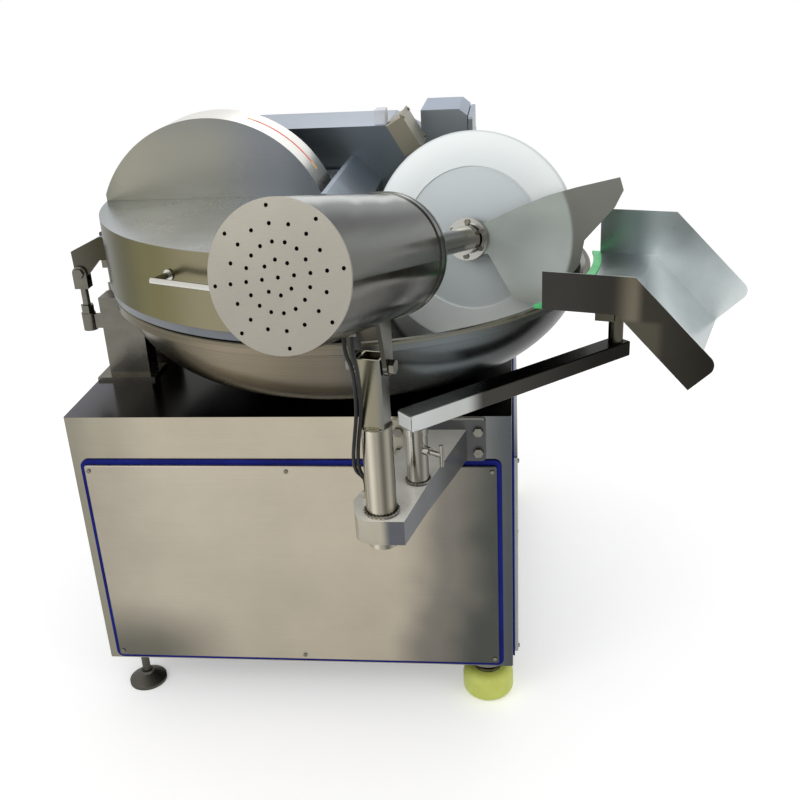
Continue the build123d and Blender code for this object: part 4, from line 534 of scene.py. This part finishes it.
def piece(name, build, body, material):
    """A mesh piece with crisp edges, riding on a body."""
    made = mesh_object(name, build, material)
    made.data.set_sharp_from_angle(angle=SHARP_EDGE)
    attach(made, body)


def axes_for(direction):
    """Two unit vectors square to direction and to each other."""
    side = direction.cross(UP if abs(direction.z) < 0.9 else Vector((1, 0, 0))).normalized()
    return side, direction.cross(side).normalized()


def ring_of(work, centre, side, up, radius, count):
    """New vertices on a circle, whose radius is in metres."""
    turns = [2 * math.pi * k / count for k in range(count)]
    return [work.verts.new(centre + (side * math.cos(t) + up * math.sin(t)) * radius) for t in turns]


def arc_turns(start, end, steps):
    """Angles in equal steps between two that are given in degrees."""
    return [math.radians(start + (end - start) * k / steps) for k in range(steps + 1)]


def cover(work, loops, closed=False):
    """Faces from each loop of vertices to the next. The last loop meets the first, or both are capped."""
    for low, high in zip(loops, loops[1:] + loops[:1] if closed else loops[1:]):
        for k in range(len(low)):
            n = (k + 1) % len(low)
            work.faces.new((low[k], low[n], high[n], high[k]))
    if not closed:
        work.faces.new(loops[0])
        work.faces.new(loops[-1])


def lathe(work, start, direction, outline, count):
    """Revolves a closed outline of (distance, radius) pairs, in millimetres, about the line from start."""
    side, up = axes_for(direction)
    rings = [ring_of(work, start + direction * (d / 1000), side, up, r / 1000, count) for d, r in outline]
    cover(work, rings, closed=True)


# ---- welds ------------------------------------------------------------------------------------------
BEAD_AROUND, BEAD_SIDES = 72, 8
BEAD_RIPPLES, BEAD_RIPPLE = 24, 0.35    # waves round a bead, and their height as a share of its radius
WELD_LIFT = 4.5                         # a bead's middle above the strap's top
# each piece and its body, and of each bead the middle, the axis, and the radii of its ring and its section
WELDS = (
    ("post_weld_beads", "frame", ((at(*POST, STRAP_HIGH + WELD_LIFT), UP, 31.5, 2.6),
                                  (at(*COLUMN, STRAP_HIGH + WELD_LIFT), UP, 23.5, 2.2),
                                  (at(*POST, TUBE_TOP - 1), UP, 28.6, 1.6))),
    ("housing_weld_bead", "unloader", ((unloader(0, 0, 548), ALONG, 25, 2.0),)),
)


def weld_bead(work, centre, direction, radius, bead):
    """A rippled ring of weld metal round a tube, with both radii in millimetres."""
    side, up = axes_for(direction)
    loops = []
    for k in range(BEAD_AROUND):
        t = 2 * math.pi * k / BEAD_AROUND
        out = side * math.cos(t) + up * math.sin(t)
        size = bead * (1 + BEAD_RIPPLE * math.sin(BEAD_RIPPLES * t))
        loops.append(ring_of(work, centre + out * radius / 1000, out, direction, size / 1000, BEAD_SIDES))
    cover(work, loops, closed=True)


def welds():
    for name, body, beads in WELDS:
        def build(work):
            for bead in beads:
                weld_bead(work, *bead)
        piece(name, build, body, "fastener")


# ---- dark disc behind the vent holes, painted shade -------------------------------------------------
SHADE_DISC_BACK, SHADE_DISC_R, SHADE_DISC_THICK, SHADE_DISC_HOLE = 8, 98, 3, 0.2
SHADE_DISC_SIDES = 64


def vent_shade_sheet():
    """Black disc inside the vented end cover, painted shade that makes the vent holes read dark."""
    outline = [(0, SHADE_DISC_HOLE), (0, SHADE_DISC_R), (SHADE_DISC_THICK, SHADE_DISC_R), (SHADE_DISC_THICK, SHADE_DISC_HOLE)]

    def build(work):
        lathe(work, unloader(0, 0, HOUSING_FRONT - SHADE_DISC_BACK), ALONG, outline, SHADE_DISC_SIDES)
    piece("vent_shade_disc", build, "unloader", "painted_vent_shade")


# ---- the lid's strip and stripe ---------------------------------------------------------------------
STRIP_FROM, STRIP_TO, STRIP_STEPS = 128, 266, 96        # degrees round the bowl's axis from +X
STRIP_OUT, STRIP_IN = LID_R - 4, LID_R - 9
STRIP_LOW, STRIP_HIGH = RIM_Z + 5, LID_LOW + 10
STRIPE_LOW, STRIPE_WIDE, STRIPE_THICK = 8, 9, 0.4       # front edge along Y
STRIPE_STEP = 2                                         # degrees
# each piece with its material and its degrees from the drum's top
STRIPES = (("stripe_middle", "red_stripe", 21, 55), ("stripe_upper_end", "yellow_stripe", 18, 21),
           ("stripe_lower_end", "yellow_stripe", 55, 59))


def lid_seal_strip():
    """Pale plastic strip round the inside of the lid's lower edge, reaching down towards the bowl's rim."""
    section = ((STRIP_IN, STRIP_LOW), (STRIP_OUT, STRIP_LOW), (STRIP_OUT, STRIP_HIGH), (STRIP_IN, STRIP_HIGH))

    def build(work):
        cover(work, [[work.verts.new(at(r * math.cos(t), r * math.sin(t), z)) for r, z in section]
                     for t in arc_turns(STRIP_FROM, STRIP_TO, STRIP_STEPS)])
    piece("lid_seal_strip", build, "lid", "lid_strip")


def drum_stripe():
    """Plain red stripe with yellow ends on the raised drum's band."""
    back, top = STRIPE_LOW + STRIPE_WIDE, DRUM_R + STRIPE_THICK
    section = ((DRUM_R, STRIPE_LOW), (DRUM_R, back), (top, back), (top, STRIPE_LOW))
    for name, material, start, end in STRIPES:
        steps = max(3, round((end - start) / STRIPE_STEP))

        def build(work):
            cover(work, [[work.verts.new(at(DRUM_X + r * math.sin(t), y, DRUM_Z + r * math.cos(t)))
                          for r, y in section] for t in arc_turns(start, end, steps)])
        piece(name, build, "lid", material)


# ---- cables -----------------------------------------------------------------------------------------
CABLE_R, CABLE_GAP, CABLE_SIDES = 3.5, 8.5, 16
GLAND_W, GLAND_U, GLAND_R, GLAND_LONG = 650, -24, 7, 22
GLAND_STEP = 2 * GLAND_R + 1        # from one gland to the next
GLAND_RUN, FOOT_RUN = 26, 24        # straight lengths out of the upper and the lower gland
CABLE_ROUTE = [(112, -728, 1062), (110.5, -708, 1012), (107, -693, 960), (98, -687, 908), (92, -673, 864),
               (91, -656, 830), (97, -637, 806)]
CABLE_FOOT, CABLE_FOOT_TURN, FOOT_GLAND_LONG = (106, -622), math.radians(150), 14


def cable_route(index):
    """Control points from the housing's gland down to the bracket's gland."""
    u = GLAND_U - index * GLAND_STEP
    exit_v = -HOUSING_R - GLAND_LONG
    points = [unloader(u, exit_v, GLAND_W), unloader(u, exit_v - GLAND_RUN, GLAND_W)]
    for x, y, z in CABLE_ROUTE:
        away = Vector((x - POST[0], y - POST[1], 0)).normalized() if z < TUBE_TOP else -ACROSS
        points.append(at(x, y, z) + away * CABLE_GAP * index / 1000)
    step = GLAND_STEP * index
    foot = at(CABLE_FOOT[0] + step * math.cos(CABLE_FOOT_TURN),
              CABLE_FOOT[1] + step * math.sin(CABLE_FOOT_TURN), STRAP_HIGH + FOOT_GLAND_LONG)
    return [*points, foot + UP * (FOOT_RUN / 1000), foot]


def smooth_line(name, points):
    """Points along a NURBS spline with these control points."""
    curve = bpy.data.curves.new(name, "CURVE")
    curve.dimensions = "3D"
    curve.resolution_u = 12
    spline = curve.splines.new("NURBS")
    spline.points.add(len(points) - 1)
    for control, point in zip(spline.points, points):
        control.co = (*point, 1)
    spline.order_u = 3
    spline.use_endpoint_u = True
    holder = bpy.data.objects.new(name, curve)
    mesh = bpy.data.meshes.new_from_object(holder)
    line = [v.co.copy() for v in mesh.vertices]
    bpy.data.objects.remove(holder)
    bpy.data.meshes.remove(mesh)
    return line


def tube_along(work, line, radius, count):
    """A tube round a line of points, whose section is carried along without twist."""
    side = (line[1] - line[0]).orthogonal().normalized()
    loops = []
    for k, point in enumerate(line):
        ahead = (line[min(k + 1, len(line) - 1)] - line[max(k - 1, 0)]).normalized()
        side = (side - ahead * side.dot(ahead)).normalized()
        loops.append(ring_of(work, point, side, ahead.cross(side), radius, count))
    cover(work, loops)


def cables():
    for index, node in enumerate(("right_cable", "left_cable")):
        route = cable_route(index)
        line = smooth_line(node + "_line", route)

        def build(work):
            tube_along(work, line, CABLE_R / 1000, CABLE_SIDES)
        made = mesh_object(node + "_sheath", build, "cable")
        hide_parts(node)
        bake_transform(made)


# ---- stage ------------------------------------------------------------------------------------------
WHITE = (1, 1, 1, 1)
FLOOR_REACH = 60.0      # metres
FLOOR_TONES = (0.90, 0.90, 0.90, 1), (0.93, 0.93, 0.93, 1)
FLOOR_GLOW = 0.34       # light that the floor adds where it is seen, so that it reads as white
SKY_LIGHT, SKY_SEEN = 0.72, 1.0
SENSOR_WIDTH = 36.0     # millimetres
CAMERA_REACH = 200      # metres


def floor():
    mesh = bpy.data.meshes.new("floor")
    corners = [(x * FLOOR_REACH, y * FLOOR_REACH, 0) for x, y in ((-1, -1), (1, -1), (1, 1), (-1, 1))]
    mesh.from_pydata(corners, [], [(0, 1, 2, 3)])
    made = bpy.data.objects.new("floor", mesh)
    bpy.context.collection.objects.link(made)
    material, tree = new_material("pale_floor")
    cloud = tree.noise(tree.object_point(), 1.5)
    paint = tree.add("ShaderNodeBsdfDiffuse", Color=tree.mix(cloud, *FLOOR_TONES))
    glow = tree.add("ShaderNodeEmission", Color=WHITE,
                    Strength=tree.math("MULTIPLY", tree.seen_directly(), FLOOR_GLOW))
    both = tree.add("ShaderNodeAddShader")
    tree.put(both.inputs[0], paint.outputs[0])
    tree.put(both.inputs[1], glow.outputs[0])
    close(tree, both)
    mesh.materials.append(material)


def world():
    made = bpy.data.worlds.new("studio")
    bpy.context.scene.world = made
    made.use_nodes = True
    tree = Tree(made.node_tree)
    background = tree.add("ShaderNodeBackground", Color=WHITE,
                          Strength=tree.span(tree.seen_directly(), 0, 1, SKY_LIGHT, SKY_SEEN))
    tree.add("ShaderNodeOutputWorld", Surface=background.outputs[0])


def softbox(name, place, target, size, power):
    light = bpy.data.lights.new(name, "AREA")
    light.shape = "RECTANGLE"
    light.size, light.size_y = size
    light.energy = power
    made = bpy.data.objects.new(name, light)
    made.location = place
    made.rotation_euler = (Vector(target) - Vector(place)).to_track_quat("-Z", "Y").to_euler()
    bpy.context.collection.objects.link(made)


def lights():
    softbox("key_light", place=(-2.6, -3.4, 3.6), target=(0, 0, 0.8), size=(2.4, 2.4), power=42)
    softbox("fill_light", place=(3.4, -2.6, 2.6), target=(0, 0, 0.9), size=(2.0, 2.6), power=20)
    softbox("back_light", place=(0.5, 3.4, 3.4), target=(0, 0, 1.0), size=(3.0, 1.6), power=16)


def camera():
    data = bpy.data.cameras.new("photo_view")
    data.sensor_fit = "AUTO"
    data.sensor_width = SENSOR_WIDTH
    data.lens = data.sensor_width * FOCAL_WIDTHS
    data.clip_end = CAMERA_REACH
    made = bpy.data.objects.new("photo_view", data)
    bpy.context.collection.objects.link(made)
    ahead = Vector((-math.sin(HEADING) * math.cos(PITCH), math.cos(HEADING) * math.cos(PITCH),
                    -math.sin(PITCH)))
    level = Vector((math.cos(HEADING), math.sin(HEADING), 0))
    above = level.cross(ahead)
    right = level * math.cos(ROLL) + above * math.sin(ROLL)
    up = above * math.cos(ROLL) - level * math.sin(ROLL)
    turn = Matrix((right, up, -ahead)).transposed().to_4x4()
    made.matrix_world = Matrix.Translation(CAMERA_AT) @ turn
    bpy.context.scene.camera = made


# ---- scene ------------------------------------------------------------------------------------------
camera()
finish_nodes()
cables()
welds()
vent_shade_sheet()
lid_seal_strip()
drum_stripe()
floor()
world()
lights()
bpy.context.scene.view_settings.view_transform = "Standard"
